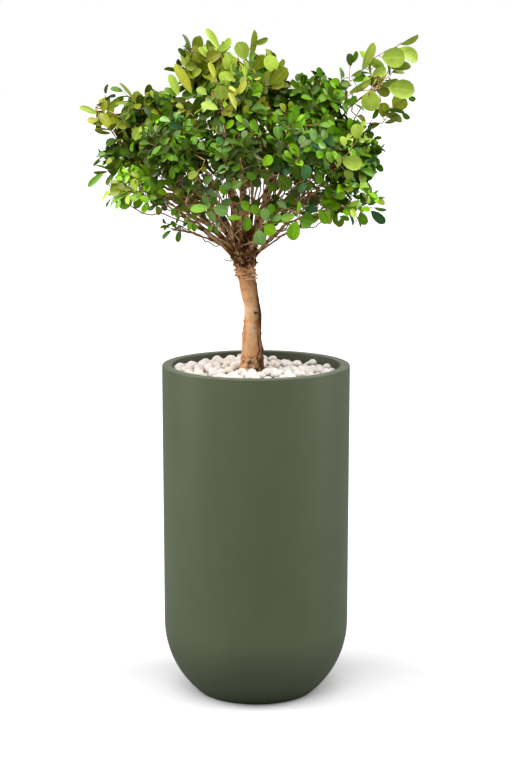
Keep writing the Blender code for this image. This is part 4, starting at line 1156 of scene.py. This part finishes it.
# Sprays that stand clear of the rest, in millimetres from the front view: mass, colours, how far back
# they lie, the line of the branch, and for each blade its base, how far its tip is to the right and
# up of it, its width, its turn about its own length in degrees, and how much further back its base
# and its tip lie, where they do
SPRAYS = (
    ("wing_right", "limey", -20, ((179, 1158), (197, 1169), (214, 1185), (213, 1200), (208, 1209),
        (222, 1222), (245, 1235), (259, 1240), (270, 1249)), (
        (230, 1222, 46, -2, 38, 10, 0, -6), (262, 1238, 42, -20, 29, -15, 12, 16),
        (265, 1244, 37, 16, 18, 62), (214, 1187, 27, 13, 20, 20, 0, -4),
        (195, 1196, 27, 50, 19, 25, -4, -8),
    )),
    ("wing_right", "limey", -40, ((165, 1149), (189, 1160), (215, 1162), (226, 1165), (240, 1167)), (
        (240, 1167, 53, -7, 36, 8, 0, -8), (212, 1164, 0, -40, 36, 10, -6, -14),
        (228, 1169, 35, 11, 16, 55, 4, 4), (196, 1164, 13, 22, 15, 30), (168, 1154, 46, 22, 16, 45, 0, -4),
        (175, 1187, 21, 9, 12, 50),
    )),
    ("wing_right", "ripe", -26, ((162, 1149), (173, 1178), (174, 1202)), (
        (174, 1204, 0, 25, 15, 15), (178, 1209, 9, 24, 12, 40, 4, 4), (163, 1182, -7, 16, 11, 45),
        (178, 1178, 28, 9, 14, 20, 6, 10), (223, 1161, 27, -7, 17, 25, 10, 16), (178, 1169, -20, 4, 16, 20),
    )),
    ("wing_right", "ripe", -8, ((179, 1121), (206, 1100), (236, 1100), (245, 1111), (256, 1124),
        (263, 1135)), (
        (256, 1122, 21, 28, 33, 15, 0, 8), (237, 1108, 2, 31, 23, 15, -4, -4), (273, 1121, 13, -15, 12, 40),
        (283, 1148, 16, -5, 12, 40, 8, 8), (238, 1100, 31, 8, 13, 55), (234, 1100, -26, -9, 15, 30),
        (217, 1106, 11, 18, 13, 45), (206, 1100, -15, 15, 14, 35),
    )),
    ("mid_right", "spring", -108, ((113, 1029), (131, 1044), (142, 1058), (149, 1073)), (
        (124, 1069, -7, 20, 11, 30), (138, 1075, -4, 29, 14, 20, 0, -4), (149, 1060, -16, 13, 13, 30),
        (162, 1060, -4, 20, 14, 20), (146, 1040, -27, 6, 13, 30),
    )),
    ("mid_right", "limey", -112, ((120, 1008), (142, 1019), (153, 1031), (175, 1059), (184, 1073)), (
        (184, 1073, -2, 29, 23, 10, 0, -4), (155, 1035, 38, -5, 28, 10, 0, -6),
        (149, 1021, 0, 29, 15, 15, -4, -4), (161, 1019, 14, -15, 17, 30),
    )),
    ("wing_left", "golden", -30, ((-257, 1081), (-270, 1092), (-281, 1110), (-290, 1119)), (
        (-292, 1116, -36, 16, 14, 20, 0, -4), (-281, 1097, -32, 13, 16, 20, -4, -10),
        (-282, 1119, -4, 28, 17, 15), (-285, 1123, 41, 24, 16, 35, 6, 10), (-281, 1110, 17, 20, 13, 30),
        (-269, 1088, -18, 32, 19, 10, -6, -10), (-266, 1088, 2, 28, 17, 25, 0, 4),
        (-272, 1088, -29, 2, 14, 66), (-268, 1082, -34, 2, 14, -66, 4, 4),
    )),
    ("wing_left", "ripe", -20, ((-201, 1097), (-214, 1123), (-233, 1145), (-246, 1158)), (
        (-246, 1158, -24, 9, 13, 30), (-222, 1136, -31, 40, 14, 58), (-223, 1121, -22, 15, 19, 15, -4, -8),
        (-225, 1099, -26, 20, 20, 20, -6, -10), (-233, 1148, -26, 4, 11, 60, 4, 4),
        (-205, 1143, 8, 29, 14, 15), (-194, 1121, -22, 0, 17, 30), (-196, 1106, 23, 15, 17, 25),
        (-183, 1124, -7, 30, 14, 35, 6, 6),
    )),
    ("mid_left", "mellow", -30, ((-245, 1018), (-267, 1014), (-280, 1012)), (
        (-273, 1014, -26, 9, 11, 60), (-276, 1012, -28, -4, 11, -60),
        (-282, 1010, -32, -27, 14, 20, -4, -8), (-263, 1010, -18, -24, 13, 30),
        (-250, 1007, -6, -30, 18, 20, -4, -4), (-260, 1014, -13, 18, 15, 30, 4, 4),
    )),
    ("mid_left", "shady", -24, ((-235, 1058), (-252, 1067)), (
        (-257, 1069, -24, -5, 16, 20, 0, -4), (-254, 1051, -28, -4, 13, 45), (-256, 1038, -28, -8, 11, 60),
        (-252, 1071, -9, 22, 18, 20, 4, 4), (-245, 1036, -22, -15, 13, 30),
    )),
    ("low_left", "vivid", -96, ((-180, 967), (-198, 970), (-217, 974), (-235, 978)), (
        (-224, 969, -27, -18, 25, 10, -4, -8), (-239, 978, -29, -19, 11, 60), (-213, 976, -28, 9, 13, 30),
        (-195, 970, -5, 28, 17, 15, 0, -4), (-176, 968, -4, 26, 14, 25), (-164, 965, -27, -11, 17, 30),
        (-156, 968, 24, 13, 17, 25),
    )),
    ("low_front", "vivid", -186, ((11, 945), (-11, 945), (-23, 937)), (
        (-23, 937, -27, 3, 12, 25, 0, -4), (-13, 943, -5, -28, 17, 15, -4, -8), (-13, 948, -12, 20, 15, 15),
        (5, 939, -12, 22, 17, 15),
    )),
    ("low_front", "pale_painted_sheen", -194, ((21, 945), (20, 931), (9, 918)), (
        (18, 931, -4, 25, 17, 10, 0, -4), (27, 943, 0, 20, 14, 20, 4, 4), (13, 924, 21, -12, 23, 10, 0, -4),
        (4, 919, 5, -29, 24, 5, -4, -8), (29, 933, 16, 10, 12, 20),
    )),
    ("low_front", "vivid", -180, ((50, 953), (74, 946), (90, 950)), (
        (72, 942, -27, -7, 17, 15, 0, -4), (74, 944, 5, 22, 12, 50), (77, 937, 25, -8, 30, 5, -4, -8),
        (74, 934, -11, -36, 25, 10, -8, -12),
    )),
    ("low_front", "dusky", -170, ((76, 956), (97, 958), (113, 956)), (
        (85, 947, 27, 11, 16, 20), (113, 954, 15, -29, 17, 15), (56, 952, -18, 14, 14, 25, 0, 4),
        (96, 957, 16, 15, 15, 30, 4, 4),
    )),
    ("low_front_left", "pale_painted_sheen", -176, ((-66, 962), (-81, 953)), (
        (-83, 955, -35, -2, 18, 20, 0, -4), (-79, 955, 29, -7, 21, 15, -4, -8), (-81, 951, 4, -23, 14, 20),
        (-79, 958, 5, 16, 12, 20), (-86, 956, -9, 22, 14, 25, 4, 4), (-65, 962, 20, 5, 17, 30),
    )),
    ("sprig_left", "spring", -30, ((-139, 904), (-154, 904), (-163, 906)), (
        (-161, 906, -19, 3, 11, 45), (-158, 902, -20, -15, 10, 25), (-150, 904, -8, 15, 10, 20),
        (-141, 902, -9, -23, 12, 15), (-137, 907, 8, 14, 9, 30),
    )),
    ("top_left", "ripe", -46, ((-109, 1202), (-116, 1224), (-121, 1235)), (
        (-120, 1227, -12, 38, 14, 58), (-112, 1226, 7, 34, 21, 10), (-123, 1215, -20, 23, 13, 30),
        (-118, 1191, -9, 49, 14, 62, -4, -4),
    )),
    ("top_left", "sunny", -60, ((-77, 1202), (-68, 1224)), (
        (-66, 1233, -25, 41, 16, 20, 0, -4), (-68, 1222, -16, 25, 18, 20, -4, -4),
        (-75, 1213, -20, 29, 16, 35), (-64, 1226, 18, 30, 14, 20), (-59, 1233, -1, 18, 12, 40, 4, 4),
    )),
    ("top_left", "sunny", -66, ((-55, 1173), (-37, 1188), (-24, 1206)), (
        (-18, 1215, -15, 34, 28, 10, 0, -4), (-44, 1191, -7, 35, 28, 8, -6, -10),
        (-11, 1215, 11, 56, 15, 40), (-24, 1182, 0, 27, 16, 20), (-7, 1244, 29, 12, 13, 45),
    )),
    ("shoulder_left", "golden", -92, ((-110, 1130), (-124, 1145), (-135, 1148)), (
        (-115, 1152, -30, 59, 19, 15, 0, -4), (-140, 1150, -16, 42, 17, 15, -4, -4),
    )),
    ("shoulder_left", "leafy", -80, ((-128, 1137), (-146, 1141), (-161, 1130)), (
        (-143, 1150, -23, 18, 12, 25), (-148, 1144, -28, 11, 13, 55), (-165, 1107, 4, 34, 19, 12, -6, -10),
        (-157, 1144, -22, -5, 15, 30),
    )),
    ("front_top", "golden", -200, ((-48, 1042), (-53, 1073), (-58, 1109), (-62, 1142)), (
        (-62, 1145, -1, 28, 26, 8, 0, -4), (-65, 1130, -30, 14, 16, 20, 0, -4),
        (-35, 1128, -11, 33, 15, 40), (-72, 1184, -11, 29, 13, 30), (-60, 1119, 18, 18, 17, 25),
    )),
    ("top_right", "sunny", -70, ((11, 1137), (18, 1166), (22, 1191)), (
        (26, 1193, 1, 33, 27, 10), (22, 1171, 36, 29, 24, 20, -4, -8), (-11, 1193, 29, 31, 19, 30, 4, 4),
        (-5, 1146, 16, 24, 23, 10, -6, -10), (26, 1166, 25, 11, 17, 30),
    )),
    ("mid_front_left", "lively", -204, ((-91, 1042), (-94, 1030), (-103, 1022)), (
        (-101, 1021, -20, -9, 16, 20, 0, -4), (-99, 1024, 12, 2, 11, 30),
        (-107, 1021, -5, -18, 14, 20, 0, -4),
    )),
    ("mid_front_left", "dusky", -200, ((-60, 1045), (-53, 1033), (-57, 1017)), (
        (-46, 1033, -22, -11, 16, 20, 0, -4), (-44, 1059, -11, -19, 12, 25), (-53, 1017, 8, -18, 11, 45),
        (-61, 992, 17, 9, 16, 20, 0, -4), (-66, 997, 14, -17, 14, 20), (-77, 1013, -16, -14, 17, 25, 4, 4),
        (-78, 995, -11, -14, 15, 30, 4, 4),
    )),
    ("mid_front", "spring", -226, ((-28, 1043), (-23, 1026), (-26, 1008)), (
        (-23, 1006, -19, -12, 17, 15, 0, -4), (-11, 1010, -16, -6, 10, 55), (-18, 1022, 18, -11, 15, 30),
        (11, 1033, 17, 17, 18, 20),
    )),
    ("mid_front", "shady", -216, ((11, 1043), (19, 1025), (25, 1011)), (
        (4, 1021, 21, -8, 17, 15, 0, -4), (-9, 1009, 18, -12, 16, 20), (19, 1002, 18, -12, 16, 20),
        (39, 1016, 21, -24, 27, 10, -4, -10), (25, 1025, 19, 7, 15, 30),
    )),
    ("mid_front_right", "dusky", -204, ((75, 1042), (80, 1021), (84, 1005)), (
        (69, 1038, 7, -31, 19, 15, 0, -4), (85, 1005, 7, 28, 19, 10, -4, -4),
        (92, 1003, -17, -17, 16, 20, 0, -4), (82, 989, 18, 10, 14, 25), (61, 989, 17, -11, 15, 30, 4, 4),
    )),
    ("mid_right", "leafy", -40, ((179, 1037), (197, 1033), (205, 1022)), (
        (203, 1022, 9, 26, 14, 20), (210, 1024, 21, 5, 13, 30), (195, 1055, 28, -3, 10, 55),
        (197, 1005, 21, -3, 17, 15, 0, -4), (192, 983, 21, 0, 18, 20), (195, 1076, 24, 3, 12, 25, 0, -4),
        (205, 1013, 20, -4, 12, 50),
    )),
    ("low_right", "dusky", -60, ((175, 951), (197, 945), (210, 944)), (
        (193, 940, 10, -26, 18, 20, 0, -4), (212, 942, 28, -26, 18, 20), (217, 947, 26, -7, 11, 60),
        (201, 947, -4, 28, 14, 20), (208, 949, 13, 17, 16, 20, 4, 4), (178, 971, 15, -11, 11, 60),
    )),
    ("low_right", "shady", -70, ((152, 952), (167, 946), (178, 935), (187, 922)), (
        (157, 948, -12, -13, 11, 30), (169, 950, -10, 18, 16, 20),
    )),
    ("low_right", "shady", -66, ((156, 950), (173, 938), (167, 924)), (
        (156, 940, -19, 4, 12, 50),
    )),
    ("low_left", "vivid", -120, ((-146, 972), (-168, 972), (-186, 974)), (
        (-188, 974, -9, 29, 19, 10, 0, -4), (-182, 987, 13, 14, 14, 25), (-161, 976, -18, 5, 14, 20, 0, -4),
        (-204, 1036, 24, -13, 14, 20), (-157, 1026, -18, 4, 14, 20),
    )),
    ("low_left", "ripe", -124, ((-139, 972), (-146, 994)), (
        (-142, 1012, -22, -7, 12, 25), (-146, 994, -14, -7, 11, 35),
        (-120, 1045, -12, -25, 17, 15, -6, -10), (-135, 987, -14, -11, 13, 30),
        (-131, 1009, 11, -19, 14, 25),
    )),
    ("low_left", "spring", -100, ((-147, 949), (-132, 938), (-125, 923)), (
        (-120, 925, -5, -17, 11, 30), (-147, 949, -7, -15, 11, 30), (-118, 923, 11, -13, 11, 35),
    )),
    ("low_left", "lively", -90, ((-133, 955), (-122, 937), (-122, 918)), (
        (-129, 940, -9, 11, 11, 30), (-122, 933, -11, -11, 10, 25), (-122, 928, 13, 9, 11, 30),
        (-120, 916, 9, -11, 9, 35), (-125, 948, 13, 5, 10, 20),
    )),
    ("low_left", "ripe", -84, ((-166, 962), (-177, 955), (-185, 951)), (
        (-181, 953, -14, 11, 12, 20), (-173, 957, 7, -15, 12, 25), (-185, 951, -12, -6, 11, 30),
        (-166, 960, 11, 13, 12, 25),
    )),
    ("low_front_left", "lively", -120, ((-77, 954), (-80, 932), (-77, 914)), (
        (-79, 921, -7, -13, 10, 25), (-80, 936, -11, 5, 11, 30), (-77, 914, 9, -10, 9, 30),
    )),
    ("low_front", "leafy", -150, ((11, 971), (-11, 963), (-29, 960)), (
        (-29, 962, -13, 12, 14, 25), (-18, 962, -15, -15, 13, 30), (-7, 967, 14, -11, 14, 25),
        (-2, 963, -9, -14, 13, 30), (-22, 962, 9, 14, 13, 30),
    )),
    ("low_front", "dusky", -146, ((36, 967), (47, 956), (54, 941)), (
        (38, 965, -14, -9, 14, 25), (49, 956, -16, -11, 13, 30), (54, 945, -12, -13, 12, 25),
        (51, 954, 14, 7, 14, 25), (42, 963, -13, 13, 15, 30),
    )),
    ("low_left", "lively", -72, ((-126, 961), (-137, 950), (-144, 943)), (
        (-143, 945, -13, -6, 11, 30), (-139, 950, 9, -11, 10, 25), (-133, 956, -11, 7, 11, 30),
        (-144, 943, -4, -15, 11, 30),
    )),
    ("low_left", "ripe", -64, ((-111, 968), (-108, 953), (-100, 938)), (
        (-104, 946, -11, -6, 11, 30), (-106, 955, 13, 4, 12, 25), (-100, 938, 5, -13, 12, 25),
        (-109, 962, -13, 4, 12, 25),
    )),
    ("low_front_left", "dusky", -110, ((-62, 953), (-62, 935), (-66, 920)), (
        (-64, 935, 11, -9, 11, 30), (-64, 924, -9, -9, 9, 35), (-62, 942, -9, 11, 13, 30),
    )),
    ("front_top", "lively", -128, ((-11, 1090), (4, 1099), (20, 1106)), (
        (20, 1106, 18, 9, 14, 20), (11, 1103, -13, 16, 12, 25), (5, 1101, 15, 16, 14, 20),
        (18, 1104, 13, -14, 14, 25), (9, 1101, 4, -18, 14, 20), (14, 1104, -9, -16, 13, 30),
    )),
    ("shoulder_right", "spring", -84, ((68, 1097), (51, 1097), (35, 1099)), (
        (37, 1099, -21, 2, 16, 20), (44, 1097, -13, -14, 17, 25), (48, 1097, -11, 19, 16, 20),
        (55, 1097, -2, -18, 14, 25), (55, 1097, 7, 19, 15, 30), (37, 1099, -15, 11, 14, 25),
    )),
    ("shoulder_left", "ripe", -104, ((-97, 1105), (-113, 1116), (-131, 1129)), (
        (-131, 1129, -14, 9, 12, 25), (-126, 1125, 6, 16, 14, 20), (-120, 1122, -17, -11, 14, 25),
        (-115, 1118, 11, 13, 12, 25), (-109, 1113, -11, -15, 14, 20), (-127, 1127, -17, -5, 13, 30),
        (-104, 1109, 15, 7, 13, 30),
    )),
    ("shoulder_right", "lively", -108, ((49, 1102), (51, 1116), (60, 1129)), (
        (51, 1118, -15, 9, 12, 20), (49, 1113, -14, 3, 11, 30), (53, 1122, -6, 18, 12, 25),
        (58, 1127, 15, 7, 12, 20), (60, 1127, 4, 16, 11, 30), (56, 1123, 17, -3, 12, 25),
        (51, 1114, 14, -5, 10, 25), (38, 1111, -16, -6, 12, 20),
    )),
)
OPEN_MASSES = ("wing_left", "wing_right", "low_front", "low_front_left", "sprig_left")
# masses with no twigs that head further down than this
BARE_BELOW = {"low_left": -0.55, "mid_left": -0.35}
FRONT = Vector((0, -1, 0.25))
UP = Vector((0, 0, 1))

stems, shoots, leaves = Limbs(), Limbs(), []
for index, mass in enumerate(MASSES):
    name, centre, half, _, twig_count, shoot_count, leaf_count, leaf_length, young, grown = mass
    rng = random.Random(300 + index)
    tip = carriers[index][0][0]
    for spray_mass, palette, back, line, blades in SPRAYS:
        if spray_mass != name:
            continue
        corners = [tip if name in OPEN_MASSES else tip.lerp(centre, SPRAY_HEEL)]
        path = through(corners + [Vector((x, back, z)) * 0.001 for x, z in line], 4)
        radii = drawn_out(SPRAY_RADIUS, SPRAY_TIP_RADIUS, len(path) - 1)
        stems.add(path, radii, 6, 0.1, rng.random() * 0.5 - 0.1)
        for x, z, right, up, width, roll, *behind in blades:
            base_behind, tip_behind = behind or (0, 0)
            base = Vector((x, back + base_behind, z)) * 0.001
            end = Vector((x + right, back + tip_behind, z + up)) * 0.001
            carrier = min(path, key=lambda at: (at - base).length)
            shoots.add(bent_line(carrier, base, 0.1, 4), [STALK_RADIUS] * 5, 4, 0.0)
            heading = (end - base).normalized()
            face = (FRONT - heading * FRONT.dot(heading)).normalized()
            face = Matrix.Rotation(math.radians(roll), 3, heading) @ face
            colour = rng.choice(SPRAY_COLOURS[palette])
            fold, droop = rng.uniform(*SPRAY_FOLDS), rng.uniform(*SPRAY_DROOPS)
            across = heading.cross(face).normalized()
            own, length = rng.uniform(*SPRAY_SHADES), (end - base).length
            leaves.append(Leaf(base, heading, across, length, width * 0.001, fold, droop, colour, own))

    stem = bent_line(tip, centre, 0.03, TWIG_STEPS)
    stems.add(stem, drawn_out(STEM_RADIUS, STEM_TIP_RADIUS, TWIG_STEPS), 6, 0.12, 0.1)
    to_middle = (CROWN_CENTRE - centre).normalized()
    upright = ease(centre.z, 0.98, 1.14)
    outline_share = SPRAYED_SHARE if name in SPRAYED_MASSES else OUTLINE_SHARE
    for k, direction in enumerate(sphere_points(twig_count)):
        direction = jittered(rng, direction, TWIG_WANDER)
        if direction.dot(to_middle) > BARE_INSIDE or (name in OPEN_MASSES and direction.y < 0.1):
            continue
        if direction.z < BARE_BELOW.get(name, -2):
            continue
        if k % 2:
            start = carriers[index][1 + k // 2 % (len(carriers[index]) - 1)][0]
        else:
            share = TWIG_STARTS[0] + (TWIG_STARTS[1] - TWIG_STARTS[0]) * (k + 0.5) / twig_count
            start = place_on(stem, share * TWIG_STEPS)
        reach = outline_reach(direction, half) * outline_share - leaf_length * LEAF_INSIDE
        end = centre + direction * max(SHORTEST_TWIG, reach) * rng.uniform(*TWIG_REACH)
        twig = bent_line(start, end, rng.uniform(*TWIG_BOW) + UPRIGHT_BOW * upright, TWIG_STEPS)
        stems.add(twig, drawn_out(TWIG_RADIUS, TWIG_TIP_RADIUS, TWIG_STEPS), 5, 0.10, rng.uniform(-0.1, 0.4))
        outward = (end - centre).normalized()
        high = 0.5 + 0.5 * outward.z
        kind = young if rng.random() < YOUNG_TWIGS[0] + YOUNG_TWIGS[1] * high else grown
        colours = [rng.choice(SPRAY_COLOURS[kind]), rng.choice(SPRAY_COLOURS[grown])]
        leaves_along(rng, twig, leaf_count, leaf_length, centre, colours, leaves)
        along = (end - start).normalized()
        side = along.cross(outward + UP).normalized()
        for s in range(shoot_count):
            base = place_on(twig, rng.uniform(*SHOOT_STARTS) * TWIG_STEPS)
            lean = rng.uniform(*SHOOT_LEANS) * (-1 if s % 2 else 1)
            heading = along * math.cos(lean) + side * math.sin(lean) + UP * (0.5 * upright)
            heading = jittered(rng, heading, SHOOT_WANDER)
            goal = base + heading * (SHOOT_LENGTH * rng.uniform(*SHOOT_RANGE))
            away = goal - centre
            room = outline_reach(away.normalized(), half) * outline_share - leaf_length * LEAF_INSIDE
            if away.length > room:
                goal = centre + away.normalized() * max(0.015, room)
            if (goal - base).length < SHORTEST_SHOOT:
                continue
            line = bent_line(base, goal, rng.uniform(*SHOOT_BOW), 4)
            shoots.add(line, SHOOT_RADII, 4, 0.0)
            kind = young if rng.random() < YOUNG_SHOOTS[0] + YOUNG_SHOOTS[1] * high else grown
            second = [rng.choice(SPRAY_COLOURS[kind]), colours[1]]
            leaves_along(rng, line, 4, leaf_length * 0.95, centre, second, leaves)

twigs = stems.make("twigs_brown", red_bark)
green = Finish("green_shoot")
green.coat(green.ramp(green.noise(60.0, 3.0), (0.35, (0.16, 0.17, 0.030)), (0.65, (0.34, 0.28, 0.08))), 0.55)
green_shoots = shoots.make("shoots_green", green)
leaf_nodes = ["leaves_" + mass.name for mass in MASSES]
for grown_piece in (twigs, green_shoots):
    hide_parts(*leaf_nodes)


# ---------------------------------------------------------------- leaves
# Small leathery leaves, blunt and oval, folded a little along the midrib and glossy on top. They
# are dealt out by spray in plain colours, from dark inner leaves to lime young ones; the pale and
# blue-green ones are painted sheen.

# along the leaf: share of its length, share of its half-width
LEAF_OUTLINE = ((0.07, 0.05), (0.17, 0.42), (0.36, 0.84), (0.58, 1.0), (0.78, 0.92), (0.92, 0.60))
LEAF_THICKNESS = 0.00045
LEAF_COLOURS = {
    "deep": (0.036, 0.066, 0.002),
    "dark": (0.062, 0.115, 0.002),
    "mid": (0.085, 0.180, 0.002),
    # painted reflection: a blue-green cast that stands in for the sky's sheen on a leaf
    "blue": (0.045, 0.150, 0.036),
    "fresh": (0.105, 0.265, 0.003),
    "bright": (0.195, 0.430, 0.003),
    # painted sheen: a pale green that stands in for a glossy highlight
    "pale": (0.200, 0.380, 0.085),
    "olive": (0.230, 0.285, 0.012),
    "lime": (0.400, 0.560, 0.062),
    "gold": (0.405, 0.430, 0.034),
}


def blade_points(leaf):
    """Stalk, then left rim, midrib and right rim at each station, then the tip and the under midrib."""
    up = leaf.across.cross(leaf.heading)
    half = leaf.width / 2

    def at(along, aside, lift):
        sag = leaf.droop * along * along * leaf.length
        return leaf.base + leaf.heading * along * leaf.length + leaf.across * aside + up * (lift - sag)

    found = [at(0, 0, 0)]
    for along, wide in LEAF_OUTLINE:
        rise = half * wide * leaf.fold
        found += [at(along, -half * wide, rise), at(along, 0, 0), at(along, half * wide, rise)]
    found.append(at(1, 0, 0))
    found += [at(along, 0, -LEAF_THICKNESS) for along, _ in LEAF_OUTLINE]
    return found


def blade_faces():
    """Top and underside of one blade. The rims are shared, so that the blade is closed."""
    stations = len(LEAF_OUTLINE)
    tip = 1 + 3 * stations
    found = []
    for under in (False, True):
        middles = [tip + 1 + k if under else 2 + 3 * k for k in range(stations)]
        lefts = [1 + 3 * k for k in range(stations)]
        rights = [3 + 3 * k for k in range(stations)]
        part = [(0, middles[0], lefts[0]), (0, rights[0], middles[0])]
        for k in range(stations - 1):
            part.append((lefts[k], middles[k], middles[k + 1], lefts[k + 1]))
            part.append((middles[k], rights[k], rights[k + 1], middles[k + 1]))
        part += [(lefts[-1], middles[-1], tip), (middles[-1], rights[-1], tip)]
        found += [tuple(reversed(face)) for face in part] if under else part
    return found


def leaf_finish(name, colour):
    """Leathery and shiny, with a pale midrib, a shade of its own for each leaf and a fine pebbled skin."""
    skin = Finish(name)
    darker, lighter = shades(colour, 0.45, 1.50)
    vary = skin.attribute("vary")
    own = skin.ramp(vary, (0.0, darker), (0.5, colour), (1.0, lighter))
    patchy = skin.mix(skin.range(skin.noise(70.0, 3.0), 0.0, 0.35, 0.40, 0.70), own, darker)
    pale = tuple(min(1.0, channel * 1.5 + 0.05) for channel in lighter)
    ribbed = skin.mix(skin.range(skin.attribute("aside"), 0.30, 0.0, 0.0, 0.13), patchy, pale)
    skin.coat(ribbed, skin.range(vary, 0.42, 0.24), skin.range(vary, 0.10, 0.42))
    skin.bump(skin.noise(380.0, 2.0), 0.18, 0.0006)
    return skin


one_blade = blade_faces()
stations = len(LEAF_OUTLINE)
for colour_name, colour in LEAF_COLOURS.items():
    points, faces, aside, vary = [], [], [], []
    for leaf in leaves:
        if leaf.colour == colour_name:
            faces += [tuple(len(points) + corner for corner in face) for face in one_blade]
            points += blade_points(leaf)
            aside += [0.0] + [1.0, 0.0, 1.0] * stations + [0.0] * (1 + stations)
            vary += [min(1.0, max(0.0, leaf.shade))] * (2 + 4 * stations)
    piece = mesh_piece("leaves_" + colour_name, points, faces, leaf_finish("leaf_" + colour_name, colour))
    piece.data.set_sharp_from_angle(angle=math.radians(75))
    add_attributes(piece, aside=aside, vary=vary)
    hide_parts(*leaf_nodes)
